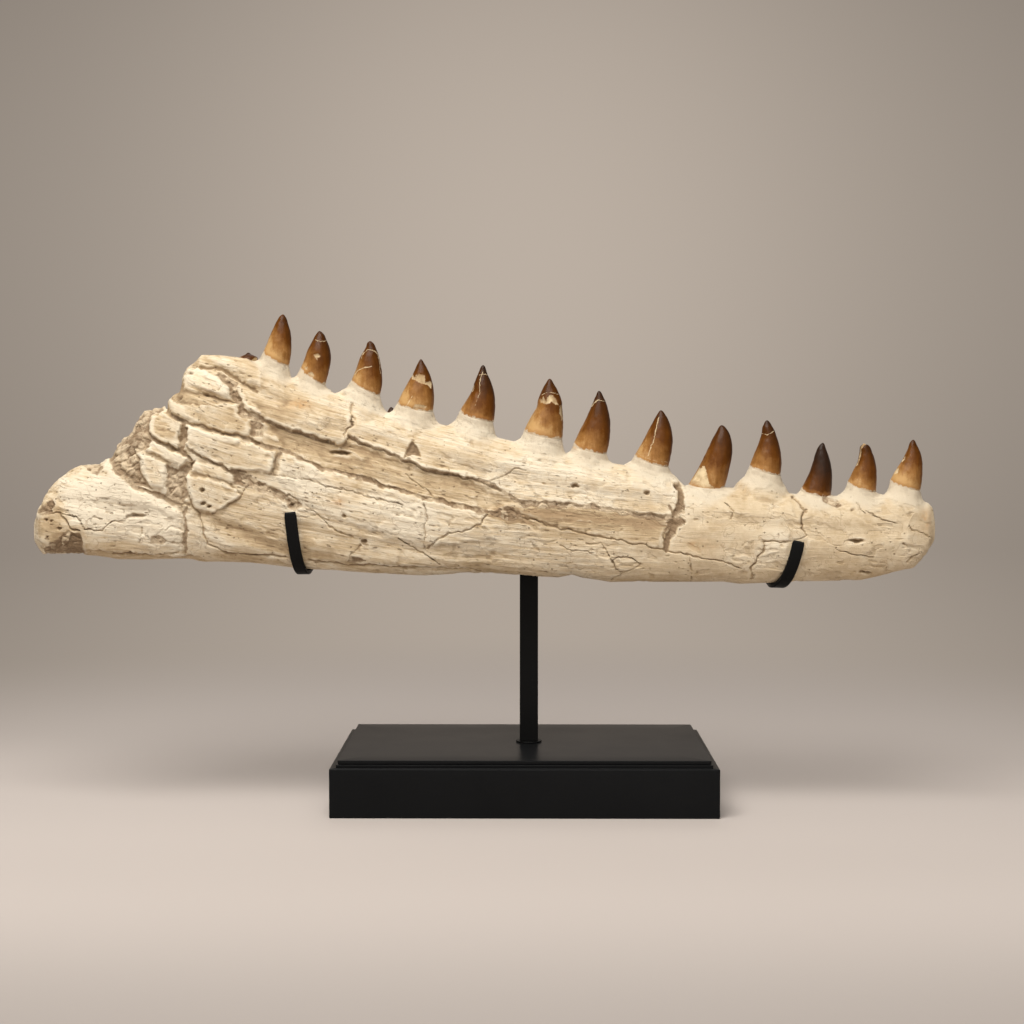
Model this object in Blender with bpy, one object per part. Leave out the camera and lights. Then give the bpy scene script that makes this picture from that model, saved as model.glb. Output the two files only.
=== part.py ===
"""Fossil mosasaur jaw held by a black metal stand.

Metres, +Z up. The origin is on the underside of the base, at its middle. +X runs along the jaw
towards its front end, and the side that faces the viewer looks along -Y.
"""

import math

import bmesh
import bpy
from mathutils import Vector

MM = 0.001
GAP = 0.3 * MM

# Base: a block with a low step around its top, and a thin plate lying on the step
BASE_LENGTH = 257 * MM
BASE_DEPTH = 152 * MM
BLOCK_HEIGHT = 32.7 * MM
STEP_INSET = 4.2 * MM
STEP_HEIGHT = 2.0 * MM
PLATE_INSET = 5.2 * MM
PLATE_THICKNESS = 2.4 * MM
BASE_EDGE_ROUND = 0.8 * MM
PLATE_EDGE_ROUND = 0.4 * MM

# Post: square bar with a thin round collar at its foot
POST_SIZE = 12.7 * MM
POST_X = 3.1 * MM
POST_TOP_Z = 192 * MM
POST_EDGE_ROUND = 0.6 * MM
COLLAR_DIAMETER = 18 * MM
COLLAR_THICKNESS = 0.9 * MM
COLLAR_SIDES = 32

# Bar and claws: flat black strap
BAR_HEIGHT = 12 * MM
BAR_THICKNESS = 3 * MM
BAR_CENTRE_Z = 178 * MM
BAR_LEFT_X = -126 * MM
BAR_RIGHT_X = 147 * MM
STRAP_WIDTH = 8 * MM
STRAP_THICKNESS = 3 * MM
STRAP_BEVEL = 0.7 * MM
STRAP_CLEARANCE = 0.9 * MM
CLAW_STEPS = 22
# Each claw: millimetres along the jaw at its front tip, under the jaw and at the bar, then the
# angles around the jaw's section where it starts and ends
CLAWS = (
    ("claw_left", -155.5, -147, -122, -161, -35),
    ("claw_right", 183, 167.5, 143, -181, -15),
)

# Jaw: distance of its middle plane in front of the post's axis
JAW_CENTRE_Y = -34 * MM
JAW_RING_POINTS = 24
JAW_LONGEST_STEP = 13 * MM
SECTION_SIDE_POWER = 0.72
SECTION_HEIGHT_POWER = 0.85

# Millimetres along the jaw, and height above the floor
JAW_TOP_EDGE = (
    (-332, 188), (-328, 200), (-321, 214), (-307, 228), (-298, 232), (-285, 234), (-275, 247),
    (-265, 256), (-257, 269), (-244, 272), (-239, 270), (-236, 279), (-231, 284), (-228, 296),
    (-217, 305), (-196, 304), (-184, 300), (-157, 290), (-128, 279), (-93, 266), (-51, 258),
    (-7, 247), (28, 238), (69, 232), (98, 228), (105, 218), (112, 215), (141, 215), (176, 216),
    (186, 210), (210, 209), (243, 211), (269, 207), (275, 202), (277, 190),
)
JAW_BOTTOM_EDGE = (
    (-332, 180), (-325, 172), (-298, 170), (-260, 168), (-186, 166), (-139, 160), (-84, 157),
    (-30, 158), (23, 156), (39, 156), (58, 152), (145, 151), (227, 154), (252, 160), (267, 167),
    (276, 179), (277, 186),
)
JAW_HALF_THICKNESS = (
    (-332, 8), (-322, 17), (-295, 21), (-200, 22), (-60, 22), (100, 21), (200, 18.5), (255, 16),
    (270, 11), (277, 5),
)

# Each crown in millimetres: left foot, right foot, tip, and how far its left and right edges bow out
CROWNS = (
    ((-176, 308.5), (-159, 299), (-163, 332.5), 1.3, 3.3),
    ((-150, 299), (-134.5, 286.5), (-138, 322), 1.3, 5.4),
    ((-116, 290), (-97.5, 279.5), (-104, 315), 1.0, 4.4),
    ((-86, 272.5), (-61.5, 268), (-70, 302.5), 0.8, 4.2),
    ((-43.5, 268.5), (-21, 261.5), (-28, 298.5), -0.6, 3.9),
    ((0, 254), (25, 250), (17, 289.5), 0.8, 5.3),
    ((33, 245.5), (56, 240.5), (50, 281.5), 0.4, 4.9),
    ((74, 237), (97, 231.5), (92, 268), 0.5, 5.4),
    ((111.5, 219), (134.5, 217), (133, 258.5), -0.5, 6.5),
    ((152, 231.5), (173, 226.5), (163, 261.5), 0, 4.6),
    ((186.5, 215), (207, 212), (201, 246.5), 0, 3.5),
    ((218.5, 221), (237, 213.5), (229, 245.5), -1.1, 4.5),
    ((246.5, 220.5), (267, 214.5), (262, 248.5), -0.5, 4.0),
)
CROWN_RINGS = 7
CROWN_SIDES = 14
CROWN_DEPTH_RATIO = 0.86
CROWN_TIP_RADIUS = 0.5 * MM

# Broken tooth base behind the first crown
STUB_FEET = ((-194, 305), (-183.5, 303.8))
STUB_HEIGHT = 3 * MM
STUB_CREST_SHIFT = 2 * MM
STUB_CREST_WIDTH_SHARE = 0.35
STUB_CREST_DEPTH_SHARE = 0.5

# Bone pedestal under a crown: share of the crown's half width at each depth below it
PEDESTAL_RINGS = ((0.0, 1.03), (5 * MM, 1.12), (12 * MM, 1.3), (22 * MM, 1.34))
PEDESTAL_SIDES = 16

BLACK_PAINT = (0.012, 0.012, 0.012)
BONE_COLOUR = (0.72, 0.58, 0.38)
ENAMEL_COLOUR = (0.19, 0.075, 0.022)


def clear_scene():
    for thing in list(bpy.data.objects):
        bpy.data.objects.remove(thing, do_unlink=True)


def make_material(name, colour, roughness, metallic=0.0):
    material = bpy.data.materials.new(name)
    material.use_nodes = True
    shader = material.node_tree.nodes["Principled BSDF"]
    shader.inputs["Base Color"].default_value = (*colour, 1.0)
    shader.inputs["Roughness"].default_value = roughness
    shader.inputs["Metallic"].default_value = metallic
    return material


def add_object(name, mesh_builder, material):
    """Turns a bmesh into a named object with its faces pointing out."""
    bmesh.ops.recalc_face_normals(mesh_builder, faces=mesh_builder.faces)
    mesh = bpy.data.meshes.new(name)
    mesh_builder.to_mesh(mesh)
    mesh_builder.free()
    mesh.materials.append(material)
    thing = bpy.data.objects.new(name, mesh)
    bpy.context.scene.collection.objects.link(thing)
    return thing


def shade_round(thing, sharp_angle=math.radians(40)):
    thing.data.shade_smooth()
    thing.data.set_sharp_from_angle(angle=sharp_angle)


def round_edges(thing, width, segments=2):
    bevel = thing.modifiers.new("Rounded edges", "BEVEL")
    bevel.width = width
    bevel.segments = segments
    bevel.limit_method = "ANGLE"
    bevel.angle_limit = math.radians(30)


def box(name, low, high, material):
    """A box between two corners, with its place in its mesh."""
    shape = bmesh.new()
    bmesh.ops.create_cube(shape, size=1.0)
    low = Vector(low)
    high = Vector(high)
    for vert in shape.verts:
        share = vert.co + Vector((0.5, 0.5, 0.5))
        vert.co = Vector(low[i] + share[i] * (high[i] - low[i]) for i in range(3))
    return add_object(name, shape, material)


def loft(shape, rings):
    """Skins closed rings of equal size one after the other, and caps both ends."""
    loops = [[shape.verts.new(point) for point in ring] for ring in rings]
    for near, far in zip(loops, loops[1:]):
        for i in range(len(near)):
            j = (i + 1) % len(near)
            shape.faces.new((near[i], near[j], far[j], far[i]))
    shape.faces.new(list(reversed(loops[0])))
    shape.faces.new(loops[-1])


def read_edge(points, x):
    """Height or thickness at x, straight between the listed points; all in metres."""
    x_mm = x / MM
    for (x0, v0), (x1, v1) in zip(points, points[1:]):
        if x_mm <= x1:
            share = max(0.0, (x_mm - x0) / (x1 - x0))
            return (v0 + share * (v1 - v0)) * MM
    return points[-1][1] * MM


def squashed(value, power):
    return math.copysign(abs(value) ** power, value)


def jaw_skin(x, angle, offset=0.0):
    """Point on the jaw's section at x. Angle 0 is the back, 90 degrees the top, -90 the bottom."""
    top = read_edge(JAW_TOP_EDGE, x)
    bottom = read_edge(JAW_BOTTOM_EDGE, x)
    half_thickness = read_edge(JAW_HALF_THICKNESS, x) + offset
    half_height = (top - bottom) / 2 + offset
    y = JAW_CENTRE_Y + half_thickness * squashed(math.cos(angle), SECTION_SIDE_POWER)
    z = (top + bottom) / 2 + half_height * squashed(math.sin(angle), SECTION_HEIGHT_POWER)
    return Vector((x, y, z))


def jaw_stations():
    """Every corner of the top edge, with steps between them no longer than JAW_LONGEST_STEP."""
    stations = []
    corners = [point[0] * MM for point in JAW_TOP_EDGE]
    for start, end in zip(corners, corners[1:]):
        steps = math.ceil((end - start) / JAW_LONGEST_STEP)
        stations += [start + (end - start) * i / steps for i in range(steps)]
    return stations + [corners[-1]]


def crown_frame(left_foot, right_foot):
    """Middle of a crown's foot, the direction across it, and the direction down into the bone."""
    left = Vector((left_foot[0] * MM, JAW_CENTRE_Y, left_foot[1] * MM))
    right = Vector((right_foot[0] * MM, JAW_CENTRE_Y, right_foot[1] * MM))
    across = (right - left).normalized()
    down = Vector((across.z, 0, -across.x))
    return (left + right) / 2, across, down, (right - left).length / 2


def ellipse_ring(centre, across, half_width, half_depth, sides):
    """Ring of points around centre, in the plane of across and Y."""
    ring = []
    for i in range(sides):
        angle = 2 * math.pi * i / sides
        point = centre + across * (half_width * math.cos(angle))
        ring.append(point + Vector((0, half_depth * math.sin(angle), 0)))
    return ring


def add_pedestal(shape, left_foot, right_foot):
    """Bone cone that flares from just under a crown down into the jaw."""
    centre, across, down, half_width = crown_frame(left_foot, right_foot)
    rings = []
    for depth, share in PEDESTAL_RINGS:
        wide = half_width * share
        middle = centre + down * (depth + GAP)
        rings.append(ellipse_ring(middle, across, wide, wide * CROWN_DEPTH_RATIO, PEDESTAL_SIDES))
    loft(shape, rings)


def build_pedestals(material):
    """All pedestals in one guide, which the jaw takes in."""
    shape = bmesh.new()
    for left_foot, right_foot, *_ in CROWNS:
        add_pedestal(shape, left_foot, right_foot)
    add_pedestal(shape, *STUB_FEET)
    guide = add_object("pedestal_guide", shape, material)
    guide.hide_render = True
    guide.display_type = "WIRE"
    return guide


def build_jaw(material):
    """The cemented bone: sections lofted from the rear end to the front, with the pedestals joined on."""
    shape = bmesh.new()
    rings = []
    for x in jaw_stations():
        turn = 2 * math.pi / JAW_RING_POINTS
        rings.append([jaw_skin(x, turn * i) for i in range(JAW_RING_POINTS)])
    loft(shape, rings)
    jaw = add_object("jaw_bone", shape, material)
    union = jaw.modifiers.new("Pedestals", "BOOLEAN")
    union.operation = "UNION"
    union.solver = "EXACT"
    union.use_self = True
    union.object = build_pedestals(material)
    shade_round(jaw)


def bowed_edge(foot, tip, bow, share):
    """Curve from foot to tip whose middle stands bow away from the straight line between them."""
    along = tip - foot
    outward = Vector((-along.z, 0, along.x)).normalized()
    return foot + along * share + outward * (4 * bow * share * (1 - share))


def build_crown(name, left_foot, right_foot, tip, left_bow, right_bow, material):
    """Pointed crown: rings between its two bowed edges, closing to a small flat tip."""
    centre, across, _, half_width = crown_frame(left_foot, right_foot)
    left = centre - across * half_width
    right = centre + across * half_width
    point = Vector((tip[0] * MM, JAW_CENTRE_Y, tip[1] * MM))
    tip_left = point - across * CROWN_TIP_RADIUS
    tip_right = point + across * CROWN_TIP_RADIUS
    rings = []
    for i in range(CROWN_RINGS + 1):
        share = math.sin(math.pi / 2 * i / CROWN_RINGS)
        a = bowed_edge(left, tip_left, left_bow * MM, share)
        b = bowed_edge(right, tip_right, -right_bow * MM, share)
        wide = (b - a).length / 2
        depth = wide * CROWN_DEPTH_RATIO
        rings.append(ellipse_ring((a + b) / 2, (b - a).normalized(), wide, depth, CROWN_SIDES))
    shape = bmesh.new()
    loft(shape, rings)
    shade_round(add_object(name, shape, material))


def build_crowns(material):
    for number, (left_foot, right_foot, tip, left_bow, right_bow) in enumerate(CROWNS, 1):
        name = f"tooth_{number:02d}"
        build_crown(name, left_foot, right_foot, tip, left_bow, right_bow, material)


def build_stub(material):
    """Broken tooth base: an oval foot that narrows to a slanting crest."""
    centre, across, down, half_width = crown_frame(*STUB_FEET)
    depth = half_width * CROWN_DEPTH_RATIO
    crest = centre - down * STUB_HEIGHT + across * STUB_CREST_SHIFT
    shape = bmesh.new()
    foot_ring = ellipse_ring(centre, across, half_width, depth, CROWN_SIDES)
    crest_width = half_width * STUB_CREST_WIDTH_SHARE
    crest_ring = ellipse_ring(crest, across, crest_width, depth * STUB_CREST_DEPTH_SHARE, CROWN_SIDES)
    loft(shape, [foot_ring, crest_ring])
    shade_round(add_object("tooth_stub", shape, material))


def claw_path(front_x, bottom_x, back_x, front_angle, back_angle):
    """Strap's middle line: from the front tip, under the jaw, up its back to the end of the bar.

    It follows the jaw's own section a little outside it, and leans towards the post.
    """
    lift = STRAP_THICKNESS / 2 + STRAP_CLEARANCE
    points = []
    for i in range(CLAW_STEPS + 1):
        share = i / CLAW_STEPS
        angle = front_angle + share * (back_angle - front_angle)
        under = -math.pi / 2
        if angle < under:
            lean = (angle - front_angle) / (under - front_angle)
            x = front_x + lean * (bottom_x - front_x)
        else:
            lean = (angle - under) / (back_angle - under)
            x = bottom_x + lean * (back_x - bottom_x)
        points.append(jaw_skin(x, angle, lift))
    return points


def strap_rings(points, inner_point):
    """Flat strap section carried along points, its flat side facing inner_point, corners bevelled."""
    rings = []
    last = len(points) - 1
    half_width = STRAP_WIDTH / 2
    half_thick = STRAP_THICKNESS / 2
    cut = STRAP_BEVEL
    corners = (
        (-half_width, -half_thick), (half_width, -half_thick),
        (half_width, half_thick - cut), (half_width - cut, half_thick),
        (cut - half_width, half_thick), (-half_width, half_thick - cut),
    )
    for i, point in enumerate(points):
        forward = (points[min(i + 1, last)] - points[max(i - 1, 0)]).normalized()
        outward = point - inner_point
        outward.x = 0
        outward = (outward - forward * outward.dot(forward)).normalized()
        sideways = forward.cross(outward)
        rings.append([point + sideways * u + outward * v for u, v in corners])
    return rings


def build_claw(name, front_x, bottom_x, back_x, front_angle, back_angle, material):
    points = claw_path(front_x, bottom_x, back_x, front_angle, back_angle)
    inner = Vector((0, JAW_CENTRE_Y, (points[0].z + read_edge(JAW_BOTTOM_EDGE, bottom_x)) / 2))
    shape = bmesh.new()
    loft(shape, strap_rings(points, inner))
    return add_object(name, shape, material)


def build_base(black):
    """Block with its step, and the plate on top. Gives back the height of the plate's top."""
    half_length = BASE_LENGTH / 2
    half_depth = BASE_DEPTH / 2
    block = box(
        "base_block", (-half_length, -half_depth, 0), (half_length, half_depth, BLOCK_HEIGHT), black
    )
    step = box(
        "step_guide",
        (STEP_INSET - half_length, STEP_INSET - half_depth, BLOCK_HEIGHT / 2),
        (half_length - STEP_INSET, half_depth - STEP_INSET, BLOCK_HEIGHT + STEP_HEIGHT),
        black,
    )
    step.hide_render = True
    step.display_type = "WIRE"
    joined = block.modifiers.new("Step", "BOOLEAN")
    joined.operation = "UNION"
    joined.solver = "EXACT"
    joined.object = step
    round_edges(block, BASE_EDGE_ROUND)

    plate_bottom = BLOCK_HEIGHT + STEP_HEIGHT + GAP
    plate_top = plate_bottom + PLATE_THICKNESS
    plate = box(
        "base_plate",
        (PLATE_INSET - half_length, PLATE_INSET - half_depth, plate_bottom),
        (half_length - PLATE_INSET, half_depth - PLATE_INSET, plate_top),
        black,
    )
    round_edges(plate, PLATE_EDGE_ROUND)
    return plate_top


def build_post(plate_top, black):
    """Round collar on the plate, the square post on it, and the bar across the post's front."""
    collar = bmesh.new()
    collar_bottom = plate_top + GAP
    collar_top = collar_bottom + COLLAR_THICKNESS
    centre = Vector((POST_X, 0, 0))
    radius = COLLAR_DIAMETER / 2
    across = Vector((1, 0, 0))
    levels = [centre + Vector((0, 0, z)) for z in (collar_bottom, collar_top)]
    loft(collar, [ellipse_ring(level, across, radius, radius, COLLAR_SIDES) for level in levels])
    add_object("post_foot", collar, black)

    half_post = POST_SIZE / 2
    post = box(
        "post",
        (POST_X - half_post, -half_post, collar_top + GAP),
        (POST_X + half_post, half_post, POST_TOP_Z),
        black,
    )
    round_edges(post, POST_EDGE_ROUND)

    bar_back_y = -half_post - GAP
    bar = box(
        "back_bar",
        (BAR_LEFT_X, bar_back_y - BAR_THICKNESS, BAR_CENTRE_Z - BAR_HEIGHT / 2),
        (BAR_RIGHT_X, bar_back_y, BAR_CENTRE_Z + BAR_HEIGHT / 2),
        black,
    )
    round_edges(bar, POST_EDGE_ROUND)


def main():
    clear_scene()
    black = make_material("satin_black", BLACK_PAINT, 0.38)
    bone = make_material("fossil_bone", BONE_COLOUR, 0.85)
    enamel = make_material("tooth_enamel", ENAMEL_COLOUR, 0.3)
    build_post(build_base(black), black)
    build_jaw(bone)
    build_crowns(enamel)
    build_stub(enamel)
    for name, front_x, bottom_x, back_x, front_degrees, back_degrees in CLAWS:
        front_angle = math.radians(front_degrees)
        back_angle = math.radians(back_degrees)
        build_claw(name, front_x * MM, bottom_x * MM, back_x * MM, front_angle, back_angle, black)


main()
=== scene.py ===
import itertools
import math

import bpy
import numpy as np
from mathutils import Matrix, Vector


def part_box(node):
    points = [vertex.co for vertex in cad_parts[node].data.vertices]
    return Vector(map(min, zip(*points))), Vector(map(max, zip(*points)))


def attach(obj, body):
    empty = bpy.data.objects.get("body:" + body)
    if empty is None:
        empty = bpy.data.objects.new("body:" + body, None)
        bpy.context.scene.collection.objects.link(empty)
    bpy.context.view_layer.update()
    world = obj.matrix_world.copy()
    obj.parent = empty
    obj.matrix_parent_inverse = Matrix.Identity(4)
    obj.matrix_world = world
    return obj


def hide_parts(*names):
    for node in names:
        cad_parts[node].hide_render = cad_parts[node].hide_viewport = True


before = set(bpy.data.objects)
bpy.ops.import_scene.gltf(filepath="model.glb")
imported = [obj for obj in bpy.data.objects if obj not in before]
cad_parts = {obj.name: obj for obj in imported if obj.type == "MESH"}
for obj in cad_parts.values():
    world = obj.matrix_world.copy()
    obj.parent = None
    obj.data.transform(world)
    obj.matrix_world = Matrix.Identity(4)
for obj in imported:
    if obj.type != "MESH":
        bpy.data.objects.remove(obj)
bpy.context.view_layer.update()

# Fossil mosasaur jaw with thirteen crowns, resting in two black straps on a post and a stepped base.
# Lengths here are millimetres and become metres when a mesh is made. +X runs along the jaw towards
# its front end, -Y faces the viewer and +Z is up. Places that were read off the photograph are in
# its pixels, x to the right and y down, and the camera below carries them into the model.

bl_info = {
    "name": "Mosasaur Jaw on a Stand",
    "version": (1, 0, 0),
    "blender": (4, 5, 0),
    "location": "3D View > Sidebar > Mosasaur Jaw",
    "description": "Builds a fossil mosasaur jaw with its crowns, its black stand and a studio stage",
    "category": "Add Mesh",
}

MM = 0.001

# The camera, fitted to the corners of the base
CAMERA_AT = np.array((-0.1, -1184.2, 253.4))
CAMERA_TILT = math.radians(2.665)
CAMERA_PAN = math.radians(0.416)
FOCAL_LENGTH = 59.87
SENSOR_WIDTH = 36.0
PHOTO_SIZE = 1024
PIXELS_PER_SLOPE = PHOTO_SIZE * FOCAL_LENGTH / SENSOR_WIDTH

# The jaw's middle plane, and its outline in the photograph from its rear end to its front end
JAW_CENTRE_Y = -34.0
TOP_OUTLINE = (
    (34.8, 529.8), (36.3, 519.6), (40.4, 511.4), (45.5, 503.3), (50.6, 491), (60.8, 478.8), (71, 469.6),
    (85, 464), (96.5, 464), (103.7, 461.9), (111.8, 454.3), (116.9, 443.5), (132.7, 429), (137.8, 416.7),
    (144.9, 409), (155, 406), (163.8, 405.5), (165.8, 409), (171, 409.4), (172.4, 398.4), (175.5, 394.9),
    (182.5, 390.5), (183.7, 379.4), (186.8, 369), (194.4, 361), (202.5, 355.3), (217.4, 355.5),
    (234.6, 357), (248.5, 358.6), (259, 363), (291.8, 379), (334.6, 393), (387, 413.5), (446, 425),
    (503, 439), (566.6, 454.3), (618, 464.2), (662, 470.5), (674.5, 476.5), (683.9, 485.4),
    (728.5, 487.5), (794.8, 493.9), (837.9, 496), (885, 495), (923, 501.6), (927.4, 502.4), (931.7, 507),
    (934.4, 523), (934.8, 535),
)
BOTTOM_OUTLINE = (
    (34.8, 532), (35.8, 542), (45.5, 553.3), (54.7, 554.8), (85, 554.3), (99.6, 555), (122, 558.4),
    (142, 558.9), (180, 558.8), (202.4, 561.3), (251, 562.3), (291, 567.4), (320, 569.9), (339, 570.5),
    (400, 575), (421, 576.2), (453, 575.4), (480, 573), (490.6, 572.9), (520, 574.6), (537.6, 576),
    (558, 577), (572, 574), (582, 577), (610.6, 581.8), (637, 581.3), (722.9, 581.3), (739, 583.4),
    (759, 582.4), (789, 581.4), (859.6, 579.8), (875.9, 576.4), (897.6, 571), (911.7, 567.7),
    (919.3, 560), (922.5, 556), (932.3, 543), (934.8, 537),
)
# Distance along the jaw, and half its thickness there
HALF_THICKNESS = (
    (-330.5, 7), (-322, 16), (-295, 21), (-200, 22), (-60, 22), (100, 21), (200, 18.5), (255, 16),
    (270, 11), (276, 5),
)
# Powers of the section's cosine and sine, and shares of its height between which z leaves the
# softened edge for the exact one
SECTION_SIDE_POWER = 0.72
SECTION_HEIGHT_POWER = 0.85
EXACT_EDGE = (0.8, 0.995)
# How far the softened edge looks to both sides, the distances from the jaw's ends over which it sets
# in, and the samples of the outline: their spacing and how far they go on past the ends
EDGE_SOFTENING = 12.0
SOFTENING_BEGINS = (2.0, 26.0)
EDGE_SPACING = 0.5
EDGE_MARGIN = 40

# The bone's pieces, and the columns and sides of their grid. The first and last few millimetres of
# the jaw have END_COLUMNS of their own
BONE_PIECES = ("bone_rear", "bone_middle", "bone_front")
COLUMNS_PER_PIECE = 250
END_COLUMNS = 12
REAR_END = 5
FRONT_END = 4
BONE_SIDES = 396
# Samples of a section before they are spaced evenly, the weight of a length on the back, and the
# columns to both sides that share their spacing
SECTION_SAMPLES = 900
BACK_SHARE = 0.55
SPACING_BLUR = 14
# The cosine at which the back's relief begins, and the x of a place there plus the x of its partner
BACK_BEGINS = 0.28
PARTNERS_ADD_UP_TO = -52.0
# The grain's fall along the jaw, as x and height: near the crowns, and from GRAIN_BASE down; then
# the height of the first of the two
UPPER_GRAIN = ((-330, 32), (-235, 27), (-168, 10), (-16, -34), (110, -58), (280, -66))
LOWER_GRAIN = ((-330, 3), (-235, 0), (-168, -11), (-60, -27), (60, -36), (280, -38))
GRAIN_TOP = ((-330, 240), (-200, 300), (280, 212))
GRAIN_BASE = 160.0
# Where the bone turns to its smoother front part, the sizes of the matrix's lumps, and the pixels
# inside and outside an outline that the matrix mask tells apart
WORN_FRONT = (40.0, 120.0)
LARGE_LUMP = 5.0
SMALL_LUMP = 2.4
MATRIX_REACH = 6.0

# Crowns from rear to front: left edge from foot to tip, right edge from foot to just below the tip,
# then the left and right end of the bone pedestal's own foot, and how dark the enamel is
CROWNS = (
    (
        ((263.1, 351.9), (266.1, 345.8), (270.2, 335.6), (273.8, 327.4), (277.3, 320.3), (279.9, 316.2),
         (283.3, 314.4)),
        ((289.1, 365.2), (291.1, 353), (291.4, 342.8), (290.6, 332.6), (288.1, 323.4), (285.7, 317)),
        (251.7, 364), (290.5, 376), 0.38,
    ),
    (
        ((301.3, 367.2), (304.4, 360.1), (307.4, 350.9), (311.5, 342.8), (315.6, 335.1), (319.7, 331)),
        ((325.3, 384.6), (326.8, 378.5), (329.9, 366.2), (330.9, 356), (329.9, 348.9), (326.8, 340.7),
         (323.2, 333.4)),
        (292.5, 379), (331, 391), 0.6,
    ),
    (
        ((351.8, 379.5), (356.4, 368.3), (360.5, 357), (365.6, 347.9), (368, 342.2), (370.2, 341)),
        ((379.9, 394.8), (381.9, 384.6), (381.9, 372.3), (379.9, 360.1), (376.8, 349.9), (372.8, 342.4)),
        (337, 393), (386, 411), 0.55,
    ),
    (
        ((397.3, 402.8), (401.7, 394), (409.1, 380.8), (414.2, 371.3), (417.9, 363.2), (420.8, 359.2)),
        ((433.3, 410.9), (434, 396.9), (432.5, 383.7), (428.9, 372), (424.5, 363.9)),
        (387, 413.5), (438.5, 422.7), 0.42,
    ),
    (
        ((459.7, 410.9), (466.3, 400.6), (471.6, 391), (472.9, 386.5), (475.8, 379.3), (478.7, 372),
         (482.9, 365.1)),
        ((493.4, 421.1), (494.9, 408.7), (494.9, 398.4), (492.7, 386.7), (487.6, 374.2)),
        (449, 425), (495.5, 435), 0.8,
    ),
    (
        ((524.2, 430.5), (530.8, 417.5), (536.7, 406.5), (538.2, 399.9), (541.1, 392.5), (545.5, 383.7),
         (549.6, 378.7)),
        ((562.2, 438), (563.4, 421.9), (562.8, 408.7), (561.6, 399.9), (558.7, 392.5), (554.3, 384.5)),
        (514.5, 443), (564, 451), 0.45,
    ),
    (
        ((573.4, 444.6), (579.2, 432.1), (585.1, 420.4), (591, 407.2), (595.4, 396.9), (598.7, 390.9)),
        ((606.4, 452.7), (608.6, 443.9), (610, 432.1), (610, 420.4), (607.8, 408.7), (604.2, 398.4)),
        (567, 454), (611, 463.6), 0.68,
    ),
    (
        ((634.5, 455.5), (642.8, 441.4), (651.1, 425.6), (656.9, 414.8), (660.7, 410.3)),
        ((668.5, 466.2), (671.8, 449.7), (672.7, 438), (671, 428.1), (666, 415.7)),
        (626, 464), (677, 479), 0.6,
    ),
    (
        ((687.6, 486.1), (700, 465.4), (707.5, 449.7), (715.8, 433.1), (721.9, 425.1)),
        ((724.1, 487.8), (729.1, 469.6), (732.4, 451.3), (731.5, 439.7), (727.4, 429.8)),
        (686, 489), (725, 491), 0.6,
    ),
    (
        ((749.8, 465.4), (753.9, 454.6), (758.1, 444.7), (761.4, 434.7), (763.1, 425.6), (766.7, 420.3)),
        ((780.5, 474.5), (781.6, 462.9), (780.5, 451.3), (777.1, 438), (772.2, 426.4)),
        (736, 483.6), (785.5, 486.6), 0.72,
    ),
    (
        ((800.6, 489.7), (806.7, 478.2), (812.1, 464.8), (815.7, 452.7), (819.4, 445.4), (822.6, 442.8)),
        ((830.6, 496.3), (831.7, 484.2), (831.7, 472.1), (829.7, 460), (826, 449.1)),
        (799, 492), (833, 497), 1.25,
    ),
    (
        ((847.8, 481.8), (853.3, 470.9), (857.5, 461.8), (859.4, 452.7), (860.4, 446.1), (863.6, 443.6)),
        ((875.7, 491.5), (876.6, 475.7), (875.7, 464.8), (872.7, 453.9), (867.8, 444.8)),
        (838.5, 496), (882, 496), 0.62,
    ),
    (
        ((890.3, 480.6), (895.7, 470.9), (901.8, 461.2), (907.8, 449.1), (910.2, 442.4), (912.7, 439.8)),
        ((920, 489.7), (921.8, 479.4), (922.6, 467.3), (921.8, 457.6), (917.5, 446.1)),
        (885, 495), (924, 501.6), 0.42,
    ),
)
# The broken tooth base behind the first crown, and the small new tip between crowns 3 and 4
STUB = (
    ((238, 358.8), (240.4, 356.9), (243, 355.6), (245.6, 354.3), (248.4, 352.6)),
    ((257.5, 361), (257.4, 357.4), (255, 355.8), (251.8, 354.4)), 0.75,
)
NEW_TIP = (((383.5, 419), (387.5, 411.5), (391, 407)), ((398, 419), (395, 410.5)), 1.0)
# A crown's depth as a share of its width, its least radius, the width of its cutting ridge as the
# sine of an angle, and how far its foot hangs lower in front and behind
CROWN_DEPTH_SHARE = 0.86
TIP_RADIUS = 0.12
RIDGE_WIDTH = 0.13
FOOT_SAG = 2.3
CURVE_STEPS = 30
CROWN_RINGS = 84
CROWN_SIDES = 104
# How far a crown's root reaches into the bone, in how many rings, and how much it narrows there
CROWN_ROOT = 7.0
CROWN_ROOT_RINGS = 8
ROOT_SQUEEZE = 0.05

# Depth below a pedestal's top at each distance outside it, on the sides that face front and back
PEDESTAL_SIDE = ((0, 0), (1.1, 4), (3.0, 9), (5.5, 15), (8, 32), (10, 90), (12, 200))
# The fillet between pedestal and jaw, and the least width and drop of a pedestal's other two sides
PEDESTAL_BLEND = 3.4
LEAST_FLARE = 0.7
LEAST_DROP = 1.0

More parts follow.
